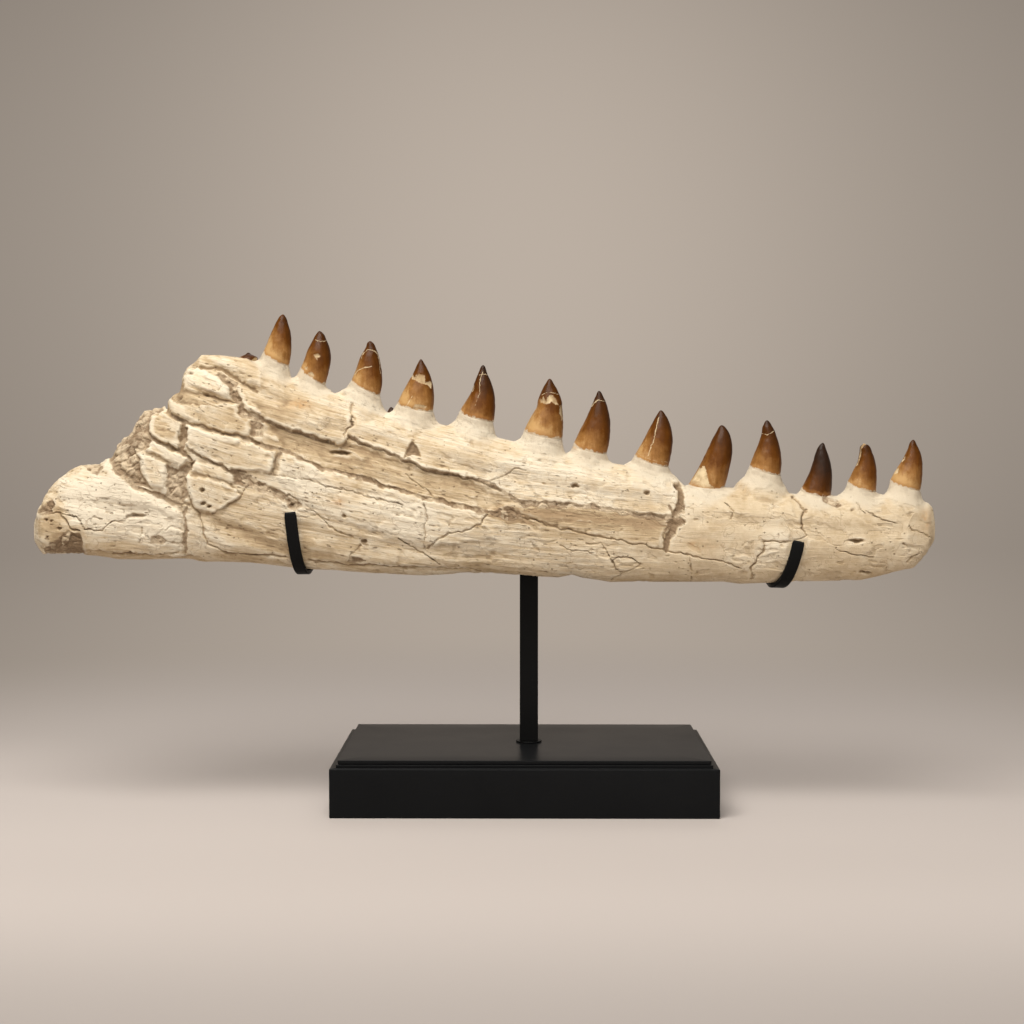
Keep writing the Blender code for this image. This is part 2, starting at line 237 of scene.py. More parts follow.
# Seams between the bones, filled with matrix: half their width in pixels, their depth, and their line
SEAMS = (
    # upper seam under the crowns, then its crumbly front half
    (1.9, 1.3, ((250, 412), (263, 420), (275, 424), (286, 428.7), (302, 433), (321, 440), (333, 443))),
    (1.7, 1.2, ((349, 436), (355, 438), (364, 443.5), (380, 449), (397.6, 455.5), (410, 463),
     (426, 468.7), (441, 472.7), (461, 476.8), (470, 478), (488.6, 483), (501, 491))),
    (0.9, 0.35, ((501, 491), (506, 495.5), (521, 501.6), (546, 504.7), (575, 503.7), (593, 506.7),
     (611, 506.7), (621, 514.5), (641, 515.5), (651, 517.6), (675, 518.6))),
    # lower seam
    (1.8, 1.3, ((171.5, 415), (185, 423), (206, 427.6), (219.7, 432.7), (234.6, 436), (249.5, 439),
     (255, 443.6), (284, 449.4), (298, 457.4), (312.7, 463), (323, 469), (346, 474))),
    (2.2, 1.5, ((343, 473.5), (364, 478.5), (373.5, 481.4), (387, 487), (403, 491), (420.5, 497.4),
     (435.5, 499.7), (449, 503.7), (473, 508.8), (486.5, 511.8))),
    # gap behind the first crowns
    (2.0, 1.2, ((229, 378), (232, 388), (235.5, 396), (240, 404.5), (246, 413), (255, 419.5),
     (263, 420.7))),
    # both edges of the wide crack
    (1.8, 1.1, ((677, 484), (682, 498), (684, 505), (683, 511), (675, 515.5), (683, 521.6), (676, 526.7),
     (674, 535), (668, 540), (666.7, 550))),
    (1.4, 0.8, ((669.8, 506), (675, 518.6), (670, 523.7), (665.7, 530), (662.7, 537), (663.7, 544),
     (664, 549.7))),
    # around the plates of the rear part
    (2.2, 1.3, ((114, 471), (133.7, 487), (158, 495), (171, 502), (189, 505.5))),
    (1.5, 1.1, ((187, 446), (190, 450), (200, 455), (206, 459), (229, 469.5), (245, 472))),
    (1.4, 0.9, ((271, 474), (274, 466), (276, 460), (281.7, 453))),
    (1.7, 1.1, ((148, 436), (165, 445), (178.6, 450), (190, 459))),
    (2.0, 1.2, ((231, 471), (251, 481), (267, 487), (278, 492), (288, 495.5), (297, 499.6))),
    (2.2, 1.2, ((184, 424), (182.5, 434), (180.5, 447), (184, 452))),
    (1.6, 1.0, ((187, 506), (184, 516), (187, 530), (185, 541), (186, 552))),
)

# Thin open cracks: half their width in pixels, their depth, and their line
CRACKS = (
    (0.8, 0.9, ((525, 518), (540, 522), (562, 528.7), (582, 532.8), (601, 536.8), (629, 542),
     (645, 545.6), (666.7, 550.7), (688, 554.3), (712.7, 559), (739, 566.5))),
    (0.9, 1.1, ((792, 495.7), (798, 501), (801, 507), (806, 511), (802, 517), (802, 530), (807, 535.5),
     (800, 538.6), (792, 541.6), (769, 541.6), (763, 542.7), (764, 552), (757, 557), (755, 563),
     (750, 570), (753, 575), (751, 580))),
    (0.9, 1.1, ((184.7, 488), (192, 504.5), (197, 514), (202, 524), (205, 537), (207.6, 544.5),
     (213.7, 547.6), (224, 552), (250, 555), (286, 558))),
    (0.8, 0.9, ((272.5, 475), (309, 480), (325, 486), (353, 491.7), (380, 499.7), (403, 504))),
    (0.9, 0.9, ((211, 514.7), (221, 510), (232, 504), (241, 497), (243, 490), (249, 485))),
    (0.7, 0.8, ((231, 484), (241, 496))),
    (1.3, 0.9, ((352, 403), (350, 414), (353, 425), (347, 429), (343, 436), (345, 443))),
    (1.5, 1.2, ((197.9, 365.3), (206.3, 367.2), (214, 366), (221.6, 367.4), (230, 373.3), (236.2, 376.6),
     (241.5, 381.7), (249.2, 387.8), (257, 390.1))),
    (0.6, 0.7, ((223.9, 383.3), (218.6, 390.5))),
    (0.7, 0.7, ((208, 396), (218, 398.5), (230, 401.5), (237, 404))),
    (1.1, 1.3, ((308, 561), (335, 565.5), (372, 566.5), (400, 569), (440, 569.8), (482, 572.2))),
    (0.8, 0.9, ((305.7, 508), (316, 513.5), (328.7, 524), (340, 532), (353, 537.6))),
    (0.8, 0.8, ((361, 546), (351, 552.7), (347.6, 562))),
    (0.8, 0.9, ((399, 539), (409.5, 546), (423, 554), (440.5, 565))),
    (0.7, 0.8, ((423, 503), (428, 519), (425, 525), (424.5, 548))),
    (0.9, 1.0, ((487.6, 516), (481, 523), (473, 526), (462, 532), (448.6, 533), (435, 541), (427, 549))),
    (0.7, 0.8, ((405, 475), (414, 481), (424, 489), (435, 498))),
    (0.7, 0.8, ((526, 470), (515, 468), (509, 474), (501, 477), (490.6, 482))),
    (0.7, 0.7, ((611.6, 560), (618, 556), (631, 558), (640, 563), (633, 568.6), (622, 572.7),
     (614.7, 568.6), (611.6, 560), (600, 542), (587, 544))),
    (0.7, 0.8, ((621, 574), (611.6, 581))),
    (0.7, 0.8, ((689.7, 557), (691, 568), (691, 580))),
    (0.6, 0.7, ((866, 511), (884.6, 520), (897.6, 523))),
    (0.6, 0.7, ((856, 502.6), (859, 508), (865, 514.6))),
    (0.7, 0.8, ((908, 526.5), (918, 532), (933, 538))),
    (0.7, 0.8, ((908, 562), (913, 557), (918, 553.6))),
    (1.0, 1.1, ((42, 505), (49, 511), (59, 514), (66, 520), (72, 529), (80, 531))),
    (0.7, 0.8, ((59, 513), (78, 516.5), (85, 530), (102, 530), (107, 525), (115, 521), (126, 520))),
    (0.6, 0.7, ((141, 527), (142, 531), (141, 536))),
    (0.7, 0.8, ((164, 541), (186, 542))),
    (0.7, 0.8, ((166, 529), (173, 526), (186, 531))),
    (0.9, 1.0, ((114, 553), (145, 553.5), (179, 551))),
    (0.7, 0.8, ((174, 400), (186, 404), (206, 405), (222, 408))),
    (0.6, 0.7, ((300, 517), (318, 516), (330, 519))),
    (0.6, 0.7, ((560, 546), (575, 551), (590, 553))),
    (0.6, 0.7, ((724, 503), (733, 511), (731, 520))),
    (0.6, 0.7, ((836, 548), (852, 555), (874, 557))),
)

# Soft folds of the surface: half their width in pixels, their depth, and their line
FOLDS = (
    (6.0, 2.0, ((196, 364), (209, 366.7), (219.7, 369.6), (231, 373.6), (240, 380.5), (247, 385.7),
     (260, 391), (285, 402))),
    (4.0, 0.8, ((184, 391), (203.6, 394), (222, 399), (233.5, 401))),
    (7.0, 2.0, ((200, 515), (221, 525), (237, 530), (255.5, 539), (270, 545.5), (300, 553), (330, 557))),
    (5.0, 1.6, ((130.6, 483), (144, 488), (157, 494), (165, 500), (184.7, 510.6))),
    (4.0, 1.2, ((320, 565), (352, 566.5), (389, 568.7), (430, 570), (469, 572))),
    (9.0, 1.6, ((330, 425), (380, 440), (430, 458), (480, 470), (540, 486), (600, 494), (660, 502))),
    (8.0, 1.2, ((300, 530), (360, 545), (430, 552), (520, 560), (600, 566))),
    (7.0, 1.0, ((700, 520), (760, 524), (830, 530), (900, 530))),
    (5.0, 1.0, ((60, 500), (100, 505), (150, 512), (180, 522))),
)

# Plates of bone that stand proud of their surroundings, or lie under them: how far, the slope's
# width in pixels, and the outline
PLATES = (
    (2.2, 2.0, ((188.7, 427), (217, 433), (251, 443.6), (277, 451.7), (276, 460), (271, 473.5),
     (245, 471), (229, 469), (206, 458.6), (200, 454), (185, 450), (184.7, 445))),
    (2.3, 1.8, ((149, 421), (161, 412.7), (171, 415.7), (183.7, 424), (180.6, 433), (178.6, 449),
     (165, 444), (151, 436))),
    (2.0, 1.6, ((153, 441), (163, 446), (189, 458.6), (181.6, 468), (163, 458.6), (146, 450))),
    (1.4, 2.0, ((138, 453.5), (151, 455.5), (166, 462.7), (165, 490), (146, 486))),
    (1.8, 2.0, ((185.7, 473), (230.6, 484), (241.8, 496), (220, 512.7), (211, 514.7), (198, 511.6),
     (190, 499), (184.7, 482))),
    (1.4, 1.8, ((196, 459.6), (231.6, 470), (235.7, 484), (191, 471))),
    (1.6, 2.0, ((183, 384.8), (183.4, 378), (187, 371), (197, 365.7), (204.8, 368.7), (212.4, 374),
     (224, 382.5), (229.3, 388), (230, 394), (229, 400), (218.6, 397.8), (204.8, 394), (191.8, 392.8),
     (183, 391))),
    (1.3, 2.0, ((170, 398), (180, 403), (204.8, 404), (229.3, 403), (236.2, 405), (238, 412.3),
     (241.5, 417.7), (250, 421.5), (250, 436), (234, 434.5), (218.6, 430), (199.4, 423.8), (184, 420),
     (170, 414.6))),
    (2.4, 4.0, ((243, 402), (252, 402), (262, 410), (262, 417), (252, 415), (244, 408))),
    (1.0, 3.0, ((198, 352), (240, 352), (262, 362), (262, 388), (249, 386), (236, 375), (222, 366),
     (212, 364))),
    (1.5, 5.0, ((30, 500), (60, 476), (100, 462), (120, 474), (150, 496), (183, 512), (183, 560),
     (100, 560), (30, 560))),
    (1.1, 3.0, ((283, 452), (330, 473), (400, 492), (480, 512), (500, 540), (420, 548), (340, 520),
     (300, 500), (276, 478))),
    # the sunken strip between the two long seams
    (-1.8, 3.5, ((262, 421), (302, 434), (364, 445), (410, 464), (470, 480), (520, 503), (486, 511),
     (435, 499), (373, 481), (323, 468), (284, 449))),
    # swelling of the bone below the crowns, and the round lower edge
    (1.4, 12.0, ((290, 405), (420, 432), (560, 462), (668, 486), (664, 500), (560, 490), (470, 466),
     (380, 436), (300, 424))),
    (1.0, 10.0, ((215, 535), (330, 552), (480, 556), (640, 560), (640, 572), (480, 566), (330, 562),
     (215, 552))),
    (1.0, 10.0, ((690, 500), (780, 505), (900, 512), (915, 545), (860, 562), (700, 550))),
    # low flakes
    (0.5, 1.6, ((520, 512), (600, 520), (668, 528), (660, 548), (600, 536), (530, 518))),
    (0.5, 1.6, ((330, 492), (380, 502), (420, 512), (424, 540), (380, 530), (340, 512))),
    (0.4, 1.4, ((690, 486), (740, 492), (790, 500), (796, 520), (740, 516), (700, 504))),
    (0.4, 1.4, ((810, 500), (850, 512), (880, 530), (850, 534), (812, 520))),
)

# Ledges: how far the ground above the line stands out, how far the ground below it falls back,
# over how many pixels each of them fades, and the line
LEDGES = (
    (1.4, 1.0, 34, 24, ((262, 420), (302, 433), (321, 440), (343, 444.5), (348, 436), (380, 449),
     (426, 468.7), (470, 478), (505, 491))),
    (0.45, 0.35, 26, 20, ((500, 490), (521, 500), (575, 503.5), (611, 507), (640, 513), (677, 517))),
    (0.7, 0.5, 14, 12, ((184, 383), (204, 390), (228, 397))),
    (0.2, 1.4, 6, 10, ((44, 553), (90, 549), (150, 552), (205, 556))),
    (0.6, 0.9, 10, 12, ((372, 566), (420, 569), (470, 571))),
)

# The wide crack across the middle of the jaw, and the brown hollow at the lower seam's front end
WIDE_CRACK = (
    (672, 482), (678, 484), (681, 489), (684, 501), (682, 509), (675, 517), (683, 521), (677, 528),
    (675, 532), (668, 540), (667, 550), (663, 549), (664, 541), (667, 534), (671, 521), (674, 510),
    (678, 500), (677, 491),
)
BROWN_HOLLOW = (
    (482, 510), (489, 511.5), (497, 507), (509, 505.7), (516, 510), (523, 514), (523, 518), (535, 526),
    (520, 522), (509, 524), (498, 520), (489, 518),
)

# Places that are darker or paler than the rest: change of tone, width of the fade and the outline
TINTS = (
    (-0.15, 2.5, WIDE_CRACK),
    (-0.15, 2.0, BROWN_HOLLOW),
    (-0.03, 16, ((700, 480), (930, 496), (935, 545), (880, 580), (700, 585))),
    (-0.07, 4, ((36, 515), (46, 502), (60, 506), (66, 520), (60, 532), (42, 534))),
    (0.06, 8, ((88, 531), (178, 531), (178, 548), (88, 550))),
    (0.06, 10, ((280, 462), (330, 478), (400, 500), (470, 518), (470, 540), (400, 538), (320, 520),
     (270, 500))),
    (-0.05, 6, ((262, 421), (302, 434), (350, 442), (350, 472), (323, 466), (284, 449))),
    (0.09, 2.5, ((500, 490), (521, 500), (548, 502), (593, 503), (625, 512), (676, 516), (676, 520),
     (640, 517), (612, 510), (575, 507), (545, 507), (518, 504))),
    (-0.04, 4, ((255, 420), (302, 434), (364, 445), (410, 464), (470, 480), (520, 503), (486, 511),
     (435, 499), (373, 481), (323, 468), (284, 449), (258, 438))),
    # A brown hollow beside the right strap, also darkened with painted shade
    (-0.07, 3, ((301, 533), (311, 536), (315, 546), (308, 551), (303, 549))),
    (-0.16, 2, ((404, 457), (413, 440), (419.5, 452), (420, 457), (412, 455.5))),
    (-0.07, 6, ((172, 392), (186, 384), (236, 400), (252, 420), (254, 442), (210, 430), (174, 414))),
    (-0.07, 4, ((149, 421), (161, 412), (183, 424), (179, 449), (150, 436))),
    # Painted shade: the band below the overhanging ledge of the upper seam's front half, coloured darker
    (-0.04, 9, ((500, 508), (560, 508), (670, 524), (664, 552), (600, 538), (520, 520))),
    (-0.13, 5, ((500, 509), (520, 507), (575, 508), (612, 511), (640, 518), (672, 521), (666, 530),
     (600, 526), (545, 521), (510, 518))),
    (-0.12, 4, ((50, 537), (62, 531), (84, 531), (88, 556), (60, 560))),
    (0.12, 12, ((64, 480), (120, 476), (180, 510), (180, 535), (70, 520))),
    (-0.05, 10, ((40, 545), (110, 540), (180, 548), (260, 556), (260, 570), (40, 565))),
    (-0.06, 8, ((260, 405), (300, 396), (350, 420), (330, 440), (280, 425))),
    (0.04, 14, ((500, 446), (640, 470), (672, 486), (660, 506), (560, 496), (480, 470))),
    (-0.05, 5, ((200, 515), (221, 522), (290, 545), (330, 558), (300, 562), (240, 538), (204, 524))),
    (0.04, 4, ((190, 432), (250, 440), (250, 456), (195, 450))),
    (0.1, 4, ((165, 466), (184, 470), (184, 492), (168, 492))),
    (-0.06, 4, ((186, 352), (214, 352), (219, 362), (206, 364), (190, 368))),
    (0.05, 5, ((186, 374), (197, 368), (216, 378), (228, 390), (205, 391), (186, 388))),
)
# Rusty places: middle, half width and half height in pixels
STAINS = (
    (926, 520, 4.5, 10.0), (338, 502, 6.0, 5.0), (208, 389, 5.0, 2.4), (300, 405, 12.0, 5.0),
    (575, 446, 3.0, 3.0), (700, 545, 14.0, 4.0),
)

# Rough grey matrix between the bones: how deep it lies, and the outline
MATRIX = (
    (2.0, ((104, 452), (108, 438), (126, 420), (132, 406), (146, 398), (166, 400), (163, 411), (152, 415),
     (150, 424), (152, 437), (147, 449), (138, 453), (142, 474), (152, 489), (134, 485), (112, 470))),
    (1.8, ((166, 464), (178.6, 468), (196, 457.6), (184.7, 484), (188, 497), (181.6, 504.5), (166, 497))),
    (1.6, ((180, 425), (188, 428), (186, 449), (180, 447))),
    (1.5, ((218.6, 370.2), (230.8, 375.6), (238.5, 381), (236.2, 387.8), (240, 394), (242.3, 400),
     (243, 408.5), (251.5, 415.4), (256, 420.7), (250, 419.2), (241.5, 416.9), (237.7, 412.3),
     (237.7, 404.7), (232.3, 400), (230, 394), (229.7, 388.6), (224, 382.5), (214, 374))),
    (1.2, ((250, 421), (258, 420), (266, 428), (262, 437), (254, 438), (250, 436))),
    (1.0, ((113, 466), (124, 468), (141, 481), (141, 485), (127, 480))),
    (1.6, ((404, 457), (413, 440), (419.5, 452), (420, 457), (412, 455.5))),
    (1.3, WIDE_CRACK),
    (0.6, ((486, 511.5), (498, 508), (509, 506.5), (520, 512.5), (522, 517), (509, 521), (498, 518))),
    (0.9, ((232, 472), (246, 474), (268, 484), (289, 496.5), (284, 501.7), (262, 492), (249.6, 488),
     (234, 484.5))),
    (1.4, ((351, 555), (367, 562), (347.6, 564))),
    (1.6, ((284, 497), (297, 500), (303, 505), (297, 511), (287, 507))),
    (0.4, ((500, 489), (521, 499), (548, 501), (593, 503), (625, 511), (676, 515), (676, 522), (640, 519),
     (612, 511), (575, 508), (545, 509), (518, 506))),
    (1.2, ((44, 549), (49, 544), (56, 542), (61, 537), (66, 533), (70, 530.5), (76, 533), (80, 532),
     (84, 541), (82, 546), (86, 551), (82, 562), (48, 562))),
    (0.8, ((76, 462), (92, 458), (100, 460), (103, 470), (98, 476), (88, 470))),
    (0.9, ((40, 512), (44, 506), (52, 500), (56, 505), (54, 512), (46, 515))),
    (1.0, ((152, 536), (160, 534), (168, 540), (160, 545), (152, 542))),
    (1.0, ((822, 494), (834, 498), (846, 503), (838, 507), (824, 502))),
)

# Single holes: middle, half width and half height in pixels, and depth
HOLES = (
    (340, 453, 12.5, 2.6, 3.0), (343.6, 516.4, 3.0, 2.2, 2.0), (364, 541.7, 3.6, 2.8, 2.2),
    (206, 395.4, 3.0, 1.6, 1.8), (190.5, 374, 4.5, 2.4, 1.2), (180, 397.5, 3.4, 2.4, 1.2),
    (575.8, 485.8, 4.2, 2.2, 2.4), (646, 493, 3.2, 2.4, 1.8), (857.5, 540.6, 9.0, 2.8, 2.6),
    (905, 543, 1.8, 1.6, 1.4), (866, 573, 7.0, 1.5, 1.6), (203, 490, 3.2, 2.4, 2.4),
    (204, 503.5, 2.6, 2.2, 2.2), (208.7, 506.5, 2.0, 1.8, 1.8), (292, 505, 4.0, 3.4, 3.0),
    (137, 516, 11.0, 2.4, 2.0), (46.5, 519.6, 2.0, 1.8, 1.6), (52.7, 520.6, 1.8, 1.6, 1.4),
    (47.6, 537, 2.0, 1.8, 1.6), (60.8, 527.8, 2.0, 1.6, 1.4), (229, 380, 5.0, 3.2, 2.0),
    (677, 487, 4.0, 3.4, 2.6), (853, 510, 2.6, 2.4, 0.6),
)

# Chipped enamel, as outlines on the crowns, and cracks in it: half width in pixels and line
CHIPS = (
    ((250.5, 352), (255.6, 357), (252, 359.4), (250.5, 364), (261, 364), (261, 351)),
    ((314, 354.5), (317, 352.5), (320.8, 354.5), (320.5, 357), (318, 357.2), (317.2, 360),
     (315.4, 358.5)),
    ((305.5, 366.5), (308, 366.8), (308, 370), (305.8, 369.5)),
    ((307.5, 373.5), (311, 372), (314, 375), (313.5, 378.5), (310, 378)),
    ((410.8, 376.2), (413, 374), (415, 377), (419, 373), (424.6, 374.5), (425.4, 381), (431.8, 382.2),
     (431, 388.6), (427.6, 384.6), (421, 384), (416, 380), (412, 379.4)),
    ((412.5, 411.6), (415.5, 403.5), (420, 404.5), (426, 406.5), (424.6, 412.2)),
    ((539.3, 399.5), (543, 396.8), (545.6, 400.6), (551, 395), (554.6, 397), (559.4, 404.6), (556, 405),
     (551.5, 401.8), (546, 403.8), (540, 403)),
    ((558.8, 405), (562.5, 404), (564.5, 412), (564, 421), (561, 420)),
    ((533, 410.4), (534.6, 406.2), (537.5, 404), (536.6, 408.6)),
    ((681, 495), (690, 478), (697, 466), (700, 469), (704, 466.6), (707, 474), (709, 484), (714, 487),
     (717, 496)),
    ((855.4, 465.6), (858, 456), (858.6, 446), (863, 441.5), (868, 443.4), (864, 445.6), (861.2, 449),
     (860.8, 457), (858, 464.6)),
    ((893.8, 474.6), (896.4, 468.6), (899, 467), (897.4, 472.6)),
    ((901.6, 461.6), (904, 456.6), (904.8, 459.4)),
    ((470.5, 390), (473, 384.6), (474.6, 386), (472.4, 391.4)),
)
ENAMEL_CRACKS = (
    (0.7, ((659, 417.5), (656.2, 429.8), (652.8, 443), (647.8, 456))),
    (0.45, ((636, 451), (641, 456), (650, 459.4), (660, 461.4), (669, 461.6))),
    (0.6, ((591.4, 406.4), (594, 403), (598.3, 399.9), (604.9, 400.8))),
    (0.55, ((762.2, 433), (767.2, 434.7), (773.8, 431.4))),
    (0.55, ((361, 358), (363.5, 353), (368, 350), (373, 350), (377, 353), (379, 360), (380.4, 374))),
    (0.6, ((355, 374.4), (357.5, 371.4), (360.5, 369.3), (366.6, 367.2), (371.7, 366.2))),
    (0.5, ((541, 394.4), (549, 392.6), (558.7, 394))),
    (0.55, ((482.6, 372), (480.2, 379.3), (479.5, 394), (475, 405.7))),
    (0.45, ((478.6, 375.4), (483, 374.2), (488, 375))),
    (0.45, ((315.6, 340), (320, 341.8), (326.5, 340.5))),
    (0.7, ((404.4, 409), (408, 404), (412.7, 395.5))),
)
# A single hole in a crown, like those of the bone
TOOTH_HOLE = (697, 478, 4.0, 3.0, 1.2)

# How far along and around a strap runs: distance along the jaw at its front tip, under the jaw and
# at the bar, then the angles around the jaw's section where it starts and ends
STRAPS = (
    ("strap_left", "claw_left", -155.5, -149.0, -122.0, -161.5, -35.0),
    ("strap_right", "claw_right", 182.0, 169.5, 143.0, -179.0, -15.0),
)
STRAP_RINGS = 110
# The shares of its section that a strap has at the rings of its ends
STRAP_END = (0.86, 0.94, 0.98, 1.0)
# A strap's distance from the plain jaw, how far the relief may stand out under it, and the length
# that one radian past its ends counts for
STRAP_CLEARANCE = 0.9
STRAP_CONTACT = 0.5
STRAP_ARM = 22.0

BLACK = (0.0, 0.0, 0.0)
DUST_COLOUR = (0.2, 0.19, 0.17)
# The stage's bowl: radius of its flat floor, radius of the bend and the heights of its wall
FLOOR_RADIUS = 2600.0
BOWL_BEND = 900.0
BOWL_WALL = (2400.0, 4200.0)
# Soft lights: name, the setting with its power, place, target, size and colour, in metres
LIGHTS = (
    ("key_light", "key_power", (-0.38, -0.95, 1.7), (0, -0.03, 0.2), (1.5, 1.2), (1.0, 0.97, 0.92)),
    ("fill_light", "fill_power", (0.5, -2.1, 0.75), (0, 0, 0.2), (1.8, 1.4), (1.0, 0.97, 0.93)),
    ("back_light", "back_power", (0.1, 1.5, 1.6), (0, 0, 0.25), (1.8, 1.0), (1.0, 0.98, 0.95)),
)


# The camera and the photograph's pixels

def camera_axes():
    """The camera's right, forward and up directions, from its pan to the left and its tilt down."""
    cos_pan, sin_pan = math.cos(CAMERA_PAN), math.sin(CAMERA_PAN)
    cos_tilt, sin_tilt = math.cos(CAMERA_TILT), math.sin(CAMERA_TILT)
    right = np.array((cos_pan, sin_pan, 0.0))
    forward = np.array((-sin_pan * cos_tilt, cos_pan * cos_tilt, -sin_tilt))
    up = np.array((-sin_pan * sin_tilt, cos_pan * sin_tilt, cos_tilt))
    return right, forward, up


def to_pixels(points):
    """Where points in millimetres show in the photograph: slope from the view axis times focal length."""
    right, forward, up = camera_axes()
    away = points - CAMERA_AT
    depth = away @ forward
    half = PHOTO_SIZE / 2
    return half + PIXELS_PER_SLOPE * (away @ right) / depth, half - PIXELS_PER_SLOPE * (away @ up) / depth


def from_pixels(pixels):
    """Points of the jaw's middle plane that show at these pixels: the camera plus a ray's length."""
    right, forward, up = camera_axes()
    pixels = np.asarray(pixels, float)
    across = (pixels[:, :1] - PHOTO_SIZE / 2) / PIXELS_PER_SLOPE
    above = (PHOTO_SIZE / 2 - pixels[:, 1:]) / PIXELS_PER_SLOPE
    rays = forward + across * right + above * up
    return CAMERA_AT + rays * ((JAW_CENTRE_Y - CAMERA_AT[1]) / rays[:, 1:2])


# Smooth steps, seeded noise and distances, on whole arrays

def smooth_step(values, low, high):
    """0 below low, 1 above high, and 3t^2 - 2t^3 between them."""
    share = np.clip((values - low) / (high - low), 0.0, 1.0)
    return share * share * (3 - 2 * share)


def smooth_max(a, b, blend):
    """The larger of a and b, with a fillet as wide as blend where they are near each other."""
    share = np.clip(0.5 + 0.5 * (a - b) / blend, 0.0, 1.0)
    return b + (a - b) * share + blend * share * (1 - share)


def cell_values(x, y, z, seed):
    """A fixed number from 0 to 1 for each whole-number cell: multiplied, shifted and masked integers."""
    mixed = x * 374761393 + y * 668265263 + z * 1440662683 + seed * 1274126177
    mixed = (mixed ^ (mixed >> 13)) * 1103515245
    mixed = mixed ^ (mixed >> 16)
    return (mixed & 0xFFFFFF) / 0xFFFFFF


def noise(x, y, z, seed, octaves=1):
    """Value noise from -1 to 1: corner values of unit cells, blended by 6t^5 - 15t^4 + 10t^3.

    Each further octave is half as large and half as strong.
    """
    total = 0.0
    strength = 1.0
    for octave in range(octaves):
        scale = 2.0 ** octave
        cells = [np.floor(v * scale).astype(np.int64) for v in (x, y, z)]
        parts = [v * scale - c for v, c in zip((x, y, z), cells)]
        fades = [t * t * t * (t * (t * 6 - 15) + 10) for t in parts]
        value = 0.0
        for corner in range(8):
            bits = [(corner >> axis) & 1 for axis in range(3)]
            weight = 1.0
            for bit, fade in zip(bits, fades):
                weight = weight * (fade if bit else 1 - fade)
            value = value + weight * cell_values(*(c + b for c, b in zip(cells, bits)), seed + octave)
        total = total + strength * (2 * value - 1)
        strength /= 2
    return total


def even_noise(points, size, seed, octaves=1):
    """Noise whose cells are cubes of this size."""
    return noise(*(points[..., axis] / size for axis in range(3)), seed, octaves)


def lumps(points, size, seed):
    """Broken lumps: the nearest of the cells' scattered centres gives each point a number from 0 to 1.

    The second result, how much further the next centre is, is small along the edges between lumps.
    """
    places = [points[..., axis] / size for axis in range(3)]
    cells = [np.floor(place).astype(np.int64) for place in places]
    nearest = np.full(points.shape[:-1], 9.0)
    second = nearest.copy()
    value = np.zeros_like(nearest)
    for shift in itertools.product((-1, 0, 1), repeat=3):
        corner = [cell + move for cell, move in zip(cells, shift)]
        centre = [cell + cell_values(*corner, seed + axis) for axis, cell in enumerate(corner)]
        distance = np.sqrt(sum((place - middle) ** 2 for place, middle in zip(places, centre)))
        second = np.minimum(second, np.maximum(distance, nearest))
        value = np.where(distance < nearest, cell_values(*corner, seed + 3), value)
        nearest = np.minimum(nearest, distance)
    return value, second - nearest


def line_distance(px, py, line, reach):
    """Shortest distance to a line of straight steps, and reach wherever it is further than that."""
    line = np.asarray(line, float)
    result = np.full(px.shape, float(reach))
    low, high = line.min(axis=0) - reach, line.max(axis=0) + reach
    near = (px > low[0]) & (px < high[0]) & (py > low[1]) & (py < high[1])
    x, y = px[near], py[near]
    best = np.full(x.shape, float(reach))
    for (x0, y0), (x1, y1) in zip(line[:-1], line[1:]):
        dx, dy = x1 - x0, y1 - y0
        along = np.clip(((x - x0) * dx + (y - y0) * dy) / (dx * dx + dy * dy), 0.0, 1.0)
        best = np.minimum(best, np.hypot(x - x0 - along * dx, y - y0 - along * dy))
    result[near] = best
    return result


def inside_distance(px, py, outline, reach):
    """Distance to a closed outline, above 0 inside it and below 0 outside it."""
    outline = np.asarray(outline, float)
    closed = np.vstack((outline, outline[:1]))
    distance = line_distance(px, py, closed, reach)
    inside = np.zeros(px.shape, bool)
    for (x0, y0), (x1, y1) in zip(closed[:-1], closed[1:]):
        crosses = (y0 > py) != (y1 > py)
        if y1 != y0:
            inside ^= crosses & (px < (x1 - x0) * (py - y0) / (y1 - y0) + x0)
    return np.where(inside, distance, -distance)


def oval_distance(px, py, across, down, half_width, half_height):
    """Distance from an oval's middle, 1 on its edge."""
    return np.hypot((px - across) / half_width, (py - down) / half_height)


def blurred(values, rows, columns):
    """Mean over a window of 2*rows+1 by 2*columns+1 samples, closed round in the second direction."""
    padded = np.pad(values, ((rows, rows), (0, 0)), mode="edge")
    padded = np.pad(padded, ((0, 0), (columns, columns)), mode="wrap")
    sums = np.pad(padded.cumsum(axis=0).cumsum(axis=1), ((1, 0), (1, 0)))
    high, wide = 2 * rows + 1, 2 * columns + 1
    total = sums[high:, wide:] - sums[:-high, wide:] - sums[high:, :-wide] + sums[:-high, :-wide]
    return total / (high * wide)


def softened(points, passes):
    """A line whose inner points are averaged with their neighbours a few times over."""
    points = points.copy()
    for _ in range(passes):
        points[1:-1] = (points[:-2] + 2 * points[1:-1] + points[2:]) / 4
    return points


def resampled(points, count):
    """count points at equal lengths along a line."""
    lengths = np.concatenate(([0.0], np.cumsum(np.linalg.norm(np.diff(points, axis=0), axis=1))))
    return picked(points, lengths, np.linspace(0.0, lengths[-1], count))


def picked(points, known, wanted):
    """Points of a line at the wanted values, between points whose values are known."""
    return np.stack([np.interp(wanted, known, points[:, axis]) for axis in range(3)], 1)


